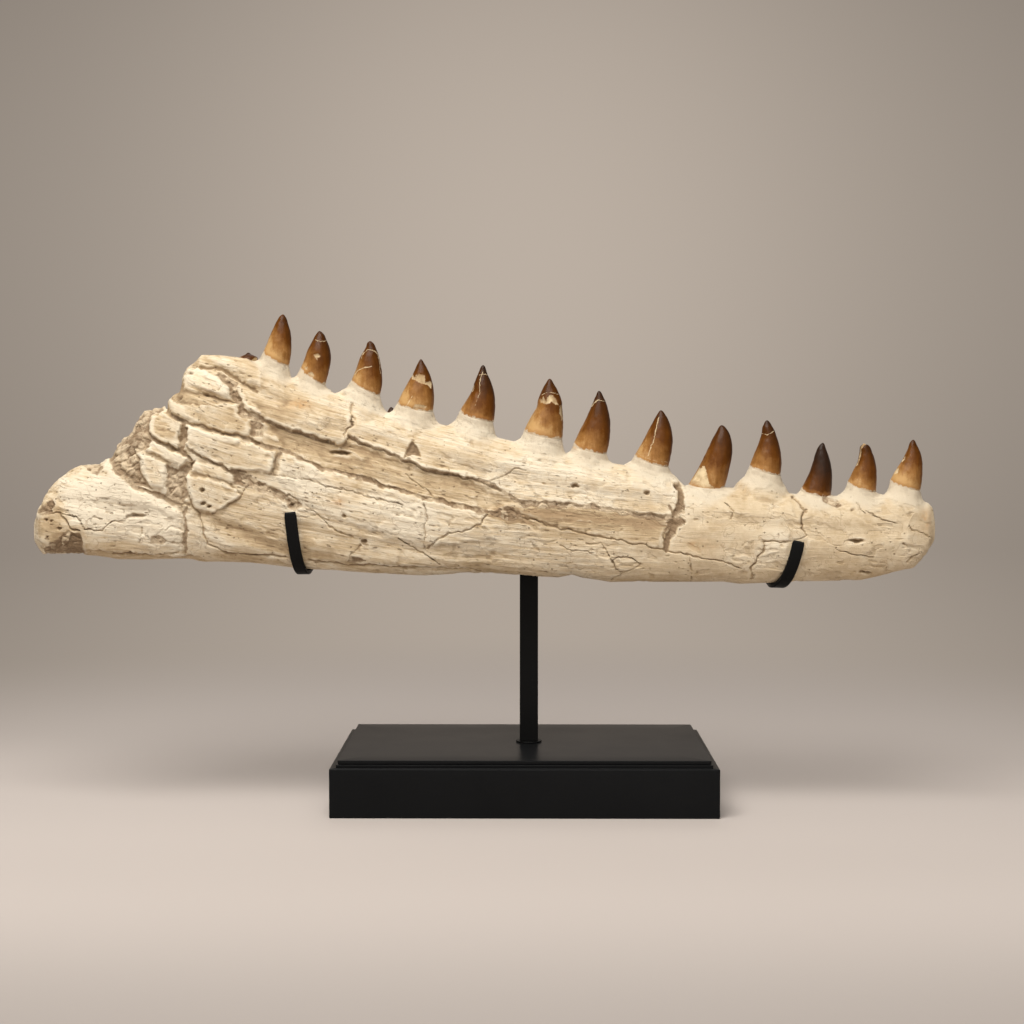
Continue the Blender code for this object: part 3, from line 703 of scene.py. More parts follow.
def smooth_curve(points):
    """CURVE_STEPS points for each step of a line, on a smooth curve through all its points.

    Each step is a cubic whose slope at a point is the mean of the two steps' slopes there, each
    weighted by the other's length, and made longer where the line turns sharply.
    """
    points = np.asarray(points, float)
    steps = np.linalg.norm(np.diff(points, axis=0), axis=1)[:, None]
    slopes = np.diff(points, axis=0) / steps
    inner = (slopes[:-1] * steps[1:] + slopes[1:] * steps[:-1]) / (steps[:-1] + steps[1:])
    inner /= np.linalg.norm(inner, axis=1, keepdims=True) ** 0.6
    slopes = np.vstack((slopes[:1], inner, slopes[-1:]))
    t = np.linspace(0, 1, CURVE_STEPS, endpoint=False)[None, :, None]
    start, end = points[:-1, None], points[1:, None]
    start_pull, end_pull = ((slope * steps)[:, None] for slope in (slopes[:-1], slopes[1:]))
    keep = t * t * (3 - 2 * t)
    curve = start + (end - start) * keep + start_pull * (t * (1 - t) ** 2) - end_pull * (t * t * (1 - t))
    return np.vstack((curve.reshape(-1, points.shape[1]), points[-1:]))


# Making meshes

def ring_faces(rings, sides):
    """Quads between neighbouring rings, closed round."""
    ring = np.arange(rings - 1)[:, None] * sides
    side = np.arange(sides)[None, :]
    after = (side + 1) % sides
    quads = np.stack((ring + side, ring + after, ring + sides + after, ring + sides + side), axis=-1)
    return quads.reshape(-1, 4)


def enclosed_volume(points, quads):
    """Six times the volume inside, negative if the faces point in."""
    a, b, c, d = (points[quads[:, corner]] for corner in range(4))
    return float((a * np.cross(b, c)).sum() + (a * np.cross(c, d)).sum())


def tube_mesh(name, rings):
    """A closed mesh from rings of points (ring, side, xyz), with a middle point closing each end."""
    count, sides = rings.shape[:2]
    points = np.vstack((rings.reshape(-1, 3), rings[0].mean(axis=0), rings[-1].mean(axis=0)))
    quads = ring_faces(count, sides)
    side = np.arange(sides)
    after = (side + 1) % sides
    last = (count - 1) * sides
    hub = np.full(sides, count * sides)
    first_cap = np.stack((after, side, hub), axis=1)
    last_cap = np.stack((last + side, last + after, hub + 1), axis=1)
    triangles = np.vstack((first_cap, last_cap))
    if enclosed_volume(points, quads) < 0:
        quads = quads[:, ::-1]
        triangles = triangles[:, ::-1]
    corners = np.concatenate((quads.ravel(), triangles.ravel()))
    starts = np.concatenate((np.arange(len(quads)) * 4, quads.size + np.arange(len(triangles)) * 3))
    mesh = bpy.data.meshes.new(name)
    mesh.vertices.add(len(points))
    mesh.vertices.foreach_set("co", (points * MM).ravel())
    mesh.loops.add(len(corners))
    mesh.loops.foreach_set("vertex_index", corners)
    mesh.polygons.add(len(starts))
    mesh.polygons.foreach_set("loop_start", starts)
    mesh.update(calc_edges=True)
    mesh.validate()
    mesh.shade_smooth()
    return mesh


def add_masks(mesh, masks):
    """Point attributes for the material. A middle point at an end gets the mean of its ring."""
    for name, values in masks.items():
        ends = (values[0].mean(), values[-1].mean())
        layer = mesh.attributes.new(name, "FLOAT", "POINT")
        layer.data.foreach_set("value", np.append(values.ravel(), ends).astype(np.float32))


def add_normals(mesh, rings, normals):
    """The given normals, and at the middle point of each end one that points away from the tube."""
    middles = rings.mean(axis=1)
    ends = np.stack((middles[0] - middles[1], middles[-1] - middles[-2]))
    ends /= np.linalg.norm(ends, axis=1)[:, None]
    mesh.normals_split_custom_set_from_vertices(np.vstack((normals.reshape(-1, 3), ends)))


def add_own_map(mesh, rings, sides):
    """Flat map of a tube: along it is U and around it is V, each end a thin strip beside it."""
    index = np.empty(len(mesh.loops), np.int32)
    mesh.loops.foreach_get("vertex_index", index)
    starts = np.empty(len(mesh.polygons), np.int32)
    totals = np.empty(len(mesh.polygons), np.int32)
    mesh.polygons.foreach_get("loop_start", starts)
    mesh.polygons.foreach_get("loop_total", totals)
    face = np.repeat(np.arange(len(starts)), totals)
    side = index % sides
    ring = np.clip(index // sides, 0, rings - 1)
    least = np.full(len(starts), sides)
    most = np.zeros(len(starts), int)
    tube_corner = index < rings * sides
    np.minimum.at(least, face[tube_corner], side[tube_corner])
    np.maximum.at(most, face[tube_corner], side[tube_corner])
    over_join = (most - least > 1)[face] & (side == 0)
    v = np.where(over_join, sides, side) / sides
    u = 0.02 + 0.96 * ring / (rings - 1)
    cap = (totals == 3)[face]
    hub = index >= rings * sides
    v = np.where(hub, (least[face] + 0.5) / sides, v)
    outer = np.where(ring == 0, 0.018, 0.982)
    u = np.where(cap, outer, u)
    u = np.where(index == rings * sides, 0.002, u)
    u = np.where(index == rings * sides + 1, 0.998, u)
    layer = mesh.uv_layers.new(name="OFBake")
    layer.uv.foreach_set("vector", np.stack((u, 0.004 + 0.992 * v), axis=1).astype(np.float32).ravel())


def tube_piece(name, rings, material, replaced, masks=None, normals=None):
    """A closed piece from rings of points. With masks for its material it gets a map of its own too."""
    mesh = tube_mesh(name, rings)
    if masks:
        add_masks(mesh, masks)
        add_own_map(mesh, *rings.shape[:2])
    if normals is not None:
        add_normals(mesh, rings, normals)
    mesh.materials.append(material)
    piece = bpy.data.objects.new(name, mesh)
    bpy.context.scene.collection.objects.link(piece)
    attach(piece, "root")
    if replaced:
        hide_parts(*replaced)


# The jaw

def jaw_edges(x):
    """Height of the jaw's top and bottom at each x, the same two softened, and half its thickness.

    The softened heights are weighted means over EDGE_SOFTENING millimetres to both sides, and meet the
    exact ones at the jaw's ends. The body of the section follows them.
    """
    thickness = np.asarray(HALF_THICKNESS, float)
    first, last = thickness[0, 0], thickness[-1, 0]
    even = np.arange(first - EDGE_MARGIN, last + EDGE_MARGIN, EDGE_SPACING)
    window = int(EDGE_SOFTENING / EDGE_SPACING)
    bell = np.hanning(2 * window + 1)
    bell /= bell.sum()
    inside = smooth_step(np.minimum(even - first, last - even), *SOFTENING_BEGINS)
    exact, soft = [], []
    for outline in (TOP_OUTLINE, BOTTOM_OUTLINE):
        edge = from_pixels(outline)
        height = np.interp(even, edge[:, 0], edge[:, 2])
        mean = np.convolve(np.pad(height, window, mode="edge"), bell, mode="valid")
        exact.append(np.interp(x, even, height))
        soft.append(np.interp(x, even, height + (mean - height) * inside))
    return *exact, *soft, np.interp(x, thickness[:, 0], thickness[:, 1])


def signed_power(values, power):
    return np.sign(values) * np.abs(values) ** power


def jaw_section(x, angle, offset=0.0):
    """Points of the plain jaw: an oval section between its top and bottom at x.

    y = centre + thickness * cos^0.72, z = middle + half height * sin^0.85, both keeping their sign.
    Near the top and the bottom z moves on from the softened edge to the exact one.
    Angle 0 is the back, a quarter turn the top, and half a turn the front.
    """
    high, low, soft_high, soft_low, thick = jaw_edges(x)
    share = signed_power(np.sin(angle), SECTION_HEIGHT_POWER)
    y = JAW_CENTRE_Y + (thick + offset) * signed_power(np.cos(angle), SECTION_SIDE_POWER)
    z = (soft_high + soft_low) / 2 + ((soft_high - soft_low) / 2 + offset) * share
    z = z + (high - soft_high) * smooth_step(share, *EXACT_EDGE)
    z = z + (low - soft_low) * smooth_step(-share, *EXACT_EDGE)
    return y, z


def pedestal_height(x, y, left_edge, right_edge, left_foot, right_foot):
    """Height of one bone pedestal above the plan point (x, y), how far outside its top that is, and
    the height of its top there.

    Inside an oval as wide as the crown it is the slanting line between the crown's feet, and lies
    FOOT_SAG lower towards the front and back. Outside it drops by its own measured slope to the left
    and right, and steeply to the front and back.
    """
    (xl, _, zl), (xr, _, zr), (fl, _, gl), (fr, _, gr) = from_pixels(
        (left_edge[0], right_edge[0], left_foot, right_foot)
    )
    half_x = (xr - xl) / 2
    half_y = CROWN_DEPTH_SHARE * math.hypot(xr - xl, zr - zl) / 2
    dx = (x - (xl + xr) / 2) / half_x
    dy = (y - JAW_CENTRE_Y) / half_y
    radius = np.hypot(dx, dy) + 1e-9
    cosine = dx / radius
    sideways = cosine ** 2
    rim = np.clip(dx, -1.0, 1.0) * (radius <= 1.0) + cosine * (radius > 1.0)
    sag = FOOT_SAG * np.abs(dy) / np.maximum(radius, 1.0)
    plateau = (zl + zr) / 2 + rim * (zr - zl) / 2 - sag
    distance = np.maximum(radius - 1.0, 0.0) * (half_x * sideways + half_y * (1 - sideways))
    left = flare(distance, max(xl - fl, LEAST_FLARE), max(zl - gl, LEAST_DROP))
    right = flare(distance, max(fr - xr, LEAST_FLARE), max(zr - gr, LEAST_DROP))
    facing = np.interp(distance, *zip(*PEDESTAL_SIDE))
    drop = np.where(cosine < 0, left, right) * sideways + facing * (1 - sideways)
    return plateau - drop, distance, plateau


def flare(distance, out, down):
    """Drop of a pedestal's side: steep at first, then flatter up to its foot, then steep again."""
    return np.interp(
        distance, (0, 0.35 * out, out, out + 5, out + 30), (0, 0.58 * down, down, down + 12, 120)
    )


def bone_columns():
    """Where the sections lie along the jaw, closer together at its two ends."""
    columns = len(BONE_PIECES) * COLUMNS_PER_PIECE + 1
    first, last = HALF_THICKNESS[0][0], HALF_THICKNESS[-1][0]
    return np.concatenate((
        np.linspace(first, first + REAR_END, END_COLUMNS, endpoint=False),
        np.linspace(first + REAR_END, last - FRONT_END, columns - 2 * END_COLUMNS, endpoint=False),
        np.linspace(last - FRONT_END, last, END_COLUMNS),
    ))


def evenly_spaced(y, z, angle, *grids):
    """The grids' values at equal lengths along each section, with fewer samples on the hidden back.

    Neighbouring sections share their spacing, so that no column leans against the next.
    """
    step = np.hypot(np.diff(y, axis=1), np.diff(z, axis=1))
    step = step * np.where(np.cos(angle[:, :-1]) > 0.1, BACK_SHARE, 1.0)
    travelled = np.concatenate((np.zeros((len(y), 1)), np.cumsum(step, axis=1)), axis=1)
    travelled = blurred(travelled / travelled[:, -1:], SPACING_BLUR, 0)
    row = np.arange(len(y))[:, None] * 2.0
    wanted = (row + np.arange(BONE_SIDES) / BONE_SIDES).ravel()
    known = (row + travelled).ravel()
    return [
        np.interp(wanted, known, grid.ravel()).reshape(len(y), BONE_SIDES)
        for grid in (y, z, angle, *grids)
    ]


def bone_grid():
    """The jaw's skin before any relief: grid of points, their angle, how chalky the pedestal is there,
    and how near it is to a crown."""
    angles = -math.pi / 2 + np.linspace(0, 2 * math.pi, SECTION_SAMPLES)
    columns = bone_columns()
    x, angle = np.meshgrid(columns, angles, indexing="ij")
    y, z = jaw_section(x, angle)
    pale = np.zeros_like(z)
    beside = np.zeros_like(z)
    upper = np.sin(angle) > 0.05
    for *place, _ in CROWNS:
        height, distance, plateau = pedestal_height(x, y, *place)
        z = np.where(upper, smooth_max(height, z, PEDESTAL_BLEND), z)
        below = plateau - z
        chalk = (1 - smooth_step(below, 3.0, 22.0)) * (1 - smooth_step(distance, 3.0, 12.0))
        near = (1 - smooth_step(distance, 1.0, 6.0)) * (1 - smooth_step(below, 2.0, 9.0))
        pale = np.maximum(pale, chalk * upper)
        beside = np.maximum(beside, near)
    y, z, angle, pale, beside = evenly_spaced(y, z, angle, pale, beside * upper)
    x = np.repeat(columns[:, None], BONE_SIDES, axis=1)
    return np.stack((x, y, z), axis=-1), angle, pale, beside


def grid_normals(points):
    """Outward unit normals: the cross product of the grid's two directions."""
    along = np.gradient(points, axis=0)
    around = (np.roll(points, -1, axis=1) - np.roll(points, 1, axis=1)) / 2
    normals = np.cross(along, around)
    length = np.linalg.norm(normals, axis=-1, keepdims=True)
    normals = normals / np.maximum(length, 1e-9)
    middle = points.mean(axis=1, keepdims=True)
    if ((points - middle) * normals).sum() < 0:
        normals = -normals
    return normals


def relief_pixels(points, angle):
    """Photograph pixels of each point. The back shows the front's breaks turned end for end.

    A point of the back takes the place that lies as far from the other end, at the same share of
    the height there. The back begins a little behind the outline that the camera sees.
    """
    x, y, z = (points[..., axis] for axis in range(3))
    partner = PARTNERS_ADD_UP_TO - x
    high, low = jaw_edges(x)[:2]
    partner_high, partner_low = jaw_edges(partner)[:2]
    share = (z - low) / np.maximum(high - low, 1.0)
    partner_z = partner_low + share * (partner_high - partner_low)
    turned = np.stack((partner, 2 * JAW_CENTRE_Y - y, partner_z), axis=-1)
    back = np.cos(angle) > BACK_BEGINS + 0.16 * even_noise(points, 9, 53, 2)
    return [np.where(back, behind, seen) for behind, seen in zip(to_pixels(turned), to_pixels(points))]


def raised_ground(px, py, jagged_x, jagged_y):
    """Height of the bone's plates, ledges and folds."""
    rise = np.zeros_like(px)
    for height, slope, outline in PLATES:
        distance = inside_distance(jagged_x, jagged_y, outline, slope * 2 + 2)
        rise = rise + height * smooth_step(distance, -slope * 0.6, slope * 1.35)
    for out, back, up, down, line in LEDGES:
        rise = rise + ledge_height(jagged_x, jagged_y, out, back, up, down, np.asarray(line, float))
    for half_width, deep, line in FOLDS:
        distance = line_distance(px, py, line, half_width * 3)
        rise = rise - deep * np.exp(-(distance / half_width) ** 2)
    return rise


def ledge_height(px, py, out, back, up, down, line):
    """Ground that stands out above a line and falls back below it, fading away from the line and
    towards its ends."""
    above = np.interp(px, line[:, 0], line[:, 1]) - py
    height = out * smooth_step(above, -1.5, 1.5) * (1 - smooth_step(above, up / 4, up))
    height = height - back * smooth_step(-above, -1.0, 1.5) * (1 - smooth_step(-above, down / 4, down))
    first, last = line[0, 0], line[-1, 0]
    return height * smooth_step(px, first - 2, first + 14) * smooth_step(-px, -last - 2, 14 - last)


def bone_breaks(px, py, wide, coarse):
    """Depth of matrix, seams, cracks and holes, how dark they are, and pixels inside the matrix."""
    depth = np.zeros_like(px)
    crack = np.zeros_like(px)
    matrix = np.full_like(px, -MATRIX_REACH)
    for recess, outline in MATRIX:
        distance = inside_distance(px, py, outline, MATRIX_REACH + 2)
        depth = np.minimum(depth, -recess * smooth_step(distance, -1.0, 2.0))
        matrix = np.maximum(matrix, np.clip(distance, -MATRIX_REACH, MATRIX_REACH))
    patchy = smooth_step(wide[1] + 0.5 * coarse[1], -0.1, 0.6)
    for half_width, deep, line in SEAMS:
        width = half_width * (1 + 0.45 * wide[0] + 0.25 * coarse[0])
        distance = line_distance(px, py, line, half_width * 3 + 4)
        depth = np.minimum(depth, -deep * (1 - smooth_step(distance, 0.55 * width, 1.35 * width)))
        matrix = np.maximum(matrix, np.clip(width - distance, -MATRIX_REACH, MATRIX_REACH))
        crack = np.maximum(crack, (1 - distance / 2.6) * (0.15 + 0.6 * patchy) * min(1, deep))
    for half_width, deep, line in CRACKS:
        width = half_width * (0.85 + 0.4 * coarse[0])
        distance = line_distance(px, py, line, half_width * 6)
        depth = np.minimum(depth, -deep * (1 - smooth_step(distance, 0.3 * width, 1.7 * width)))
        crack = np.maximum(crack, (1 - distance / (3.0 * half_width)) * (0.60 + 0.34 * patchy))
    for *oval, deep in HOLES:
        distance = oval_distance(px, py, *oval)
        depth = np.minimum(depth, -deep * (1 - smooth_step(distance, 0.35, 1.15)))
        crack = np.maximum(crack, (1 - distance / 1.9) * 0.9)
    return depth, crack, matrix


def bone_skin(points, strata, wide, coarse, rough, beside):
    """Swellings of the bone, its grain with flaked layers and pits, and how dark the pits are."""
    x, y, z = (points[..., axis] for axis in range(3))
    worn_front = smooth_step(x, *WORN_FRONT)
    swell = noise(x / 34, y / 22, z / 18, 5, 2) * 0.75 + noise(x / 9, y / 9, z / 7, 15, 2) * 0.14
    grain = noise(x / 30, strata / 2.2, y / 9, 61, 2) * 0.16 + noise(x / 10, strata / 1.1, y / 4, 71) * 0.1
    bend, lift = (0.55 * far + 0.2 * near for far, near in zip(wide, coarse))
    layer = noise(x / 12 + bend + strata / 40, y / 8, strata / 6 + lift, 89, 2)
    flakes = -0.34 * smooth_step(layer, 0.36, 0.41) - 0.26 * smooth_step(layer, 0.68, 0.73)
    streaks = smooth_step(noise(x / 4.2, strata / 1.0, y / 2.6, 83), 0.70, 0.86) * (1 - worn_front)
    streaks = streaks * smooth_step(wide[0], -0.1, 0.5)
    dots = smooth_step(noise(x / 2.4, y / 2.2, z / 2.2, 87), 0.76, 0.9)
    calm = (1 - rough) * (1 - 0.7 * beside)
    lined = (grain * (1 - 0.85 * worn_front) + flakes) * calm
    lined = lined - (0.5 * streaks + 0.4 * dots) * (1 - beside)
    return swell * (1 - beside), lined, np.maximum(0.6 * streaks, 0.55 * dots) * (1 - rough)


def bone_tones(px, py):
    """Change of the bone's tone, and how rusty it is."""
    tint = np.zeros_like(px)
    for change, fade, outline in TINTS:
        tint = tint + change * smooth_step(inside_distance(px, py, outline, fade + 2), -fade, fade)
    stain = np.zeros_like(px)
    for oval in STAINS:
        stain = np.maximum(stain, np.exp(-oval_distance(px, py, *oval) ** 2))
    return tint, stain


def bone_relief(points, angle, beside):
    """How far each point moves along its normal, and the masks that the bone's material reads."""
    wide = [even_noise(points, 13, seed) for seed in (3, 7)]
    coarse = [even_noise(points, 5, seed) for seed in (11, 23)]
    fine = [even_noise(points, 2, seed) for seed in (31, 47)]
    pixels = relief_pixels(points, angle)
    jagged = [place + 1.3 * large + 0.9 * small for place, large, small in zip(pixels, coarse, fine)]
    depth, crack, matrix = bone_breaks(*jagged, wide, coarse)
    rise = raised_ground(*pixels, *jagged)
    tint, stain = bone_tones(*jagged)
    rough = smooth_step(matrix, -1.0, 1.5)
    strata = grain_height(points)
    swell, lined, pits = bone_skin(points, strata, wide, coarse, rough, beside)
    facing = smooth_step(np.abs(np.cos(angle)), 0.0, 0.42)
    depth = depth + rise * np.where(rise > 0, facing, 1.0) + swell * (0.35 + 0.65 * facing) + lined
    lump, gap = lumps(points, LARGE_LUMP, 97)
    small_lump, small_gap = lumps(points, SMALL_LUMP, 117)
    broken = 1.5 * (lump - 0.45) - 0.9 * (1 - smooth_step(gap, 0.0, 0.3)) + 0.5 * (small_lump - 0.5)
    broken = broken - 0.3 * (1 - smooth_step(small_gap, 0.0, 0.3))
    depth = depth + broken * (0.15 + 0.85 * smooth_step(matrix, 0.5, 4.0)) * rough
    masks = {
        "crack": np.clip(np.maximum(crack, pits), 0, 1), "matrix": matrix, "strata": strata, "tint": tint,
        "stain": stain, "lump": 0.65 * lump + 0.35 * small_lump, "beside": beside,
    }
    return np.minimum(depth, strap_room(points, angle)), masks


def grain_height(points):
    """Height measured across the bone's grain.

    The grain falls towards the front, more so near the crowns, so this is z less a fall that goes
    from the lower line to the upper one as z goes from GRAIN_BASE to a height near the crowns.
    """
    x, z = points[..., 0], points[..., 2]
    upper, lower, top = (np.interp(x, *zip(*line)) for line in (UPPER_GRAIN, LOWER_GRAIN, GRAIN_TOP))
    share = np.clip((z - GRAIN_BASE) / (top - GRAIN_BASE), 0, 1)
    return z - lower - share * (upper - lower)


def strap_room(points, angle):
    """How far the bone may stand out at each point: STRAP_CONTACT under a strap, and more beside it."""
    seam = 1.25 * math.pi
    turned = (angle + seam) % (2 * math.pi) - seam
    room = np.full(angle.shape, 9.0)
    for _, _, *place in STRAPS:
        x, at = strap_lean(*place)
        past_end = np.maximum(np.maximum(at[0] - turned, turned - at[-1]), 0) * STRAP_ARM
        away = np.hypot(points[..., 0] - np.interp(turned, at, x), past_end)
        room = np.minimum(room, STRAP_CONTACT + 5 * smooth_step(away, 5.0, 12.0))
    return room


def build_bone(material):
    """The jaw in three pieces that share their end columns and their normals."""
    points, angle, pale, beside = bone_grid()
    normals = grid_normals(points)
    depth, masks = bone_relief(points, angle, beside)
    # Painted shade: how far each point faces down, so that undersides are coloured darker
    masks["under"] = smooth_step(-normals[..., 2], -0.25, 0.8)
    ends = np.minimum(points[..., 0] - points[0, 0, 0], points[-1, 0, 0] - points[..., 0])
    depth = depth * smooth_step(ends, 0.0, 6.0)
    points = points + normals * depth[..., None]
    normals = grid_normals(points)
    masks["pale"] = pale
    # How far each point lies below its blurred surroundings, negative on ridges: the materials paint shade
    # in hollows and highlight on ridges from it
    masks["hollow"] = np.clip(blurred(depth, 5, 5) - depth, -1.5, 1.5)
    for number, name in enumerate(BONE_PIECES):
        part = slice(number * COLUMNS_PER_PIECE, (number + 1) * COLUMNS_PER_PIECE + 1)
        own = {key: values[part] for key, values in masks.items()}
        tube_piece(name, points[part], material, ("jaw_bone",), own, normals[part])


# The crowns

def crown_edges(left_edge, right_edge):
    """Points of a crown's left and right edge at each ring from its root to its tip, the rings' shares
    of the way from foot to tip, the crown's length and its way down into the bone.

    One smooth curve runs up the left edge, over the tip and down the right edge. The rings lie closer
    together towards the tip, and those of the root narrow towards their end.
    """
    outline = smooth_curve(from_pixels((*left_edge, *right_edge[::-1])))
    tip_at = CURVE_STEPS * (len(left_edge) - 1)
    share = 1 - (1 - np.linspace(0, 1, CROWN_RINGS)) ** 1.6
    left, right = (
        picked(resampled(edge, CROWN_RINGS), np.arange(CROWN_RINGS), share * (CROWN_RINGS - 1))
        for edge in (outline[:tip_at + 1], outline[:tip_at - 1:-1])
    )
    length = np.linalg.norm(left[-1] - (left[0] + right[0]) / 2)
    down = np.cross((0.0, 1.0, 0.0), right[0] - left[0])
    down *= -np.sign(down[2]) / np.linalg.norm(down)
    root = np.linspace(CROWN_ROOT, 0, CROWN_ROOT_RINGS, endpoint=False)[:, None]
    squeeze = (right[0] - left[0]) * ROOT_SQUEEZE * (root / CROWN_ROOT)
    left = np.vstack((left[0] + down * root + squeeze, left))
    right = np.vstack((right[0] + down * root - squeeze, right))
    return left, right, np.vstack((-root / length, share[:, None])), length, down


def crown_rings(left_edge, right_edge, seed):
    """Rings of an oval section carried between a crown's two edges, from its root to its tip.

    The middle of the two edges is a ring's centre, their distance its width, and CROWN_DEPTH_SHARE of
    that its depth. The radius takes on a cutting ridge at both edges and shallow folds along the
    crown. The second result is each point's share of the way from the sagging foot line to the tip.
    """
    left, right, rise, length, down = crown_edges(left_edge, right_edge)
    centre = (left + right) / 2
    half = (right - left) / 2
    wide = np.linalg.norm(half, axis=1, keepdims=True)
    across = half / np.maximum(wide, 1e-6)
    across[-1] = across[-2]
    wide = np.maximum(wide, TIP_RADIUS)
    turn = crown_turn()
    place = np.broadcast_arrays(1.6 * np.cos(turn), 1.6 * np.sin(turn), rise * 1.5 + seed)
    folds = noise(*place, seed, 2)
    ridge = np.exp(-(np.sin(turn) / RIDGE_WIDTH) ** 2)
    fade = 1 - np.clip(rise, 0, 1) ** 4
    radius = 1 + fade * (0.02 * folds + 0.02 * ridge - 0.012)
    rings = centre[:, None, :] + across[:, None, :] * (wide * np.cos(turn) * radius)[..., None]
    rings[..., 1] += wide * CROWN_DEPTH_SHARE * np.sin(turn) * radius
    rings[-1] -= down * 0.05
    sag = FOOT_SAG / length * np.abs(np.sin(turn)) * (1 - np.clip(rise, 0, 1))
    return rings, rise + sag


def crown_turn():
    """Angles around a crown."""
    return np.linspace(0, 2 * math.pi, CROWN_SIDES, endpoint=False)[None, :]


def build_crown(name, left_edge, right_edge, darkness, seed, replaced, material):
    """One crown: its rings with chips, cracks, a hole and a faint unevenness, and its masks."""
    rings, rise = crown_rings(left_edge, right_edge, seed)
    facing = rings[..., 1] < JAW_CENTRE_Y + 1.0
    px, py = (
        place + 0.6 * even_noise(rings, 3, large) + 0.4 * even_noise(rings, 1.2, small)
        for place, large, small in zip(to_pixels(rings), (131, 139), (137, 149))
    )
    chip = np.full(px.shape, -5.0)
    depth = np.zeros_like(px)
    for outline in CHIPS:
        distance = inside_distance(px, py, outline, 6.0)
        chip = np.where(facing, np.maximum(chip, np.clip(distance, -5, 5)), chip)
        depth = np.where(facing, np.minimum(depth, -0.7 * smooth_step(distance, -0.6, 1.6)), depth)
    crack = np.zeros_like(px)
    for half_width, line in ENAMEL_CRACKS:
        distance = line_distance(px, py, line, 5.0)
        crack = np.where(facing, np.maximum(crack, 1 - distance / (2.2 * half_width)), crack)
    *oval, deep = TOOTH_HOLE
    hole = deep * (1 - smooth_step(oval_distance(px, py, *oval), 0.3, 1.1))
    depth = np.where(facing, depth - hole, depth) + even_noise(rings, 2.4, 151) * 0.1
    depth = depth * smooth_step(1 - rise, 0.0, 0.08)
    rings = rings + grid_normals(rings) * depth[..., None]
    masks = {
        "rise": rise, "chip": chip, "crack": np.clip(crack, 0, 1),
        # Painted shade: each crown is darker on its right side, towards the jaw's front, by 0.17 times the
        # cosine around it
        "darkness": darkness + 0.17 * np.cos(crown_turn()) + np.zeros_like(rise),
    }
    tube_piece(name, rings, material, replaced, masks)


def build_crowns(material):
    """The thirteen crowns, the broken stub and the new tip, which no CAD node shows."""
    for number, (left_edge, right_edge, _, _, darkness) in enumerate(CROWNS, 1):
        replaced = (f"tooth_{number:02d}",)
        build_crown(f"crown_{number:02d}", left_edge, right_edge, darkness, number, replaced, material)
    build_crown("crown_stub", *STUB, 31, ("tooth_stub",), material)
    build_crown("crown_new_tip", *NEW_TIP, 37, (), material)


# The stand

def rounded_outline(half_width, half_depth, radius, corner_steps=8, side_steps=10):
    """Points round a rectangle with quarter-circle corners, anticlockwise, each side in even steps."""
    corners = np.array(((1, 1), (-1, 1), (-1, -1), (1, -1), (1, 1)))
    centres = corners * (half_width - radius, half_depth - radius)
    points = []
    for quarter in range(4):
        turn = (quarter + np.linspace(0, 1, corner_steps + 1)) * math.pi / 2
        arc = radius * np.stack((np.cos(turn), np.sin(turn)), 1)
        start, end = centres[quarter:quarter + 2] + arc[-1]
        points.append(centres[quarter] + arc[:-1])
        points.append(np.linspace(start, end, side_steps, endpoint=False))
    return np.vstack(points)


def edge_profile(low, high, bottom_round, top_round, steps=7):
    """How far a slab's side lies inside its widest outline at each height: a quarter circle at both
    edges."""
    turn = np.linspace(0, math.pi / 2, steps)
    bottom = np.stack((bottom_round * (1 - np.sin(turn)), low + bottom_round * (1 - np.cos(turn))), 1)
    top = np.stack((top_round * (1 - np.cos(turn)), high - top_round * (1 - np.sin(turn))), 1)
    return np.vstack((bottom, top))


def slab_rings(low, high, corner_radius, profile):
    """Rings of a slab: its rounded outline drawn in by each step of the profile, from the middle of
    its underside over its side to the middle of its top."""
    half_width, half_depth = (high - low)[:2] / 2
    flat = min(half_width, half_depth) * (1 - np.array((0.3, 0.75)))
    bottom = [(inset, profile[0][1]) for inset in flat]
    top = [(inset, profile[-1][1]) for inset in flat[::-1]]
    rings = []
    for inset, z in (*bottom, *profile, *top):
        radius = min(max(corner_radius - inset, 0.15), half_depth - inset)
        outline = rounded_outline(half_width - inset, half_depth - inset, radius)
        rings.append(np.column_stack((outline + (low + high)[:2] / 2, np.full(len(outline), z))))
    return np.array(rings)


def box_of(node):
    """A CAD node's lowest and highest corner, in millimetres."""
    low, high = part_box(node)
    return np.array(low) / MM, np.array(high) / MM


def build_slab(name, material, node, corner_radius, bottom_round, top_round):
    """A CAD node's box with rounded corners and edges."""
    low, high = box_of(node)
    profile = edge_profile(low[2], high[2], bottom_round, top_round)
    tube_piece(name, slab_rings(low, high, corner_radius, profile), material, (node,))


def build_base(settings, material):
    """Block with its stepped top edge, and the thin plate that lies on it."""
    low, high = box_of("base_block")
    edge = settings.base_edge_round / MM
    shoulder = high[2] - settings.step_height / MM
    outer = edge_profile(low[2], shoulder, edge, edge)
    inner = edge_profile(shoulder, high[2], 0.25, 0.35)
    inner[:, 0] += settings.step_inset / MM
    rings = slab_rings(low, high, 1.0, np.vstack((outer, inner)))
    tube_piece("stand_block", rings, material, ("base_block",))
    plate_edge = settings.plate_edge_round / MM
    build_slab("stand_plate", material, "base_plate", 0.8, 0.3, plate_edge)


def build_post(settings, material):
    """Round collar, square post with eased edges, and the flat bar behind the jaw."""
    low, high = box_of("post_foot")
    radius = (high[0] - low[0]) / 2
    turn = np.linspace(0, 2 * math.pi, 96, endpoint=False)
    circle = np.stack((np.cos(turn), np.sin(turn)), 1)
    flat = radius * 0.6
    profile = edge_profile(low[2], high[2], 0.15, 0.45)
    rings = [
        np.column_stack((circle * (radius - inset) + (high + low)[:2] / 2, np.full(len(turn), z)))
        for inset, z in ((flat, low[2]), *profile, (flat, high[2]))
    ]
    tube_piece("stand_collar", np.array(rings), material, ("post_foot",))
    edge = settings.post_edge_round / MM
    build_slab("stand_post", material, "post", edge, 0.3, edge)
    build_slab("stand_bar", material, "back_bar", 0.9, edge, edge)


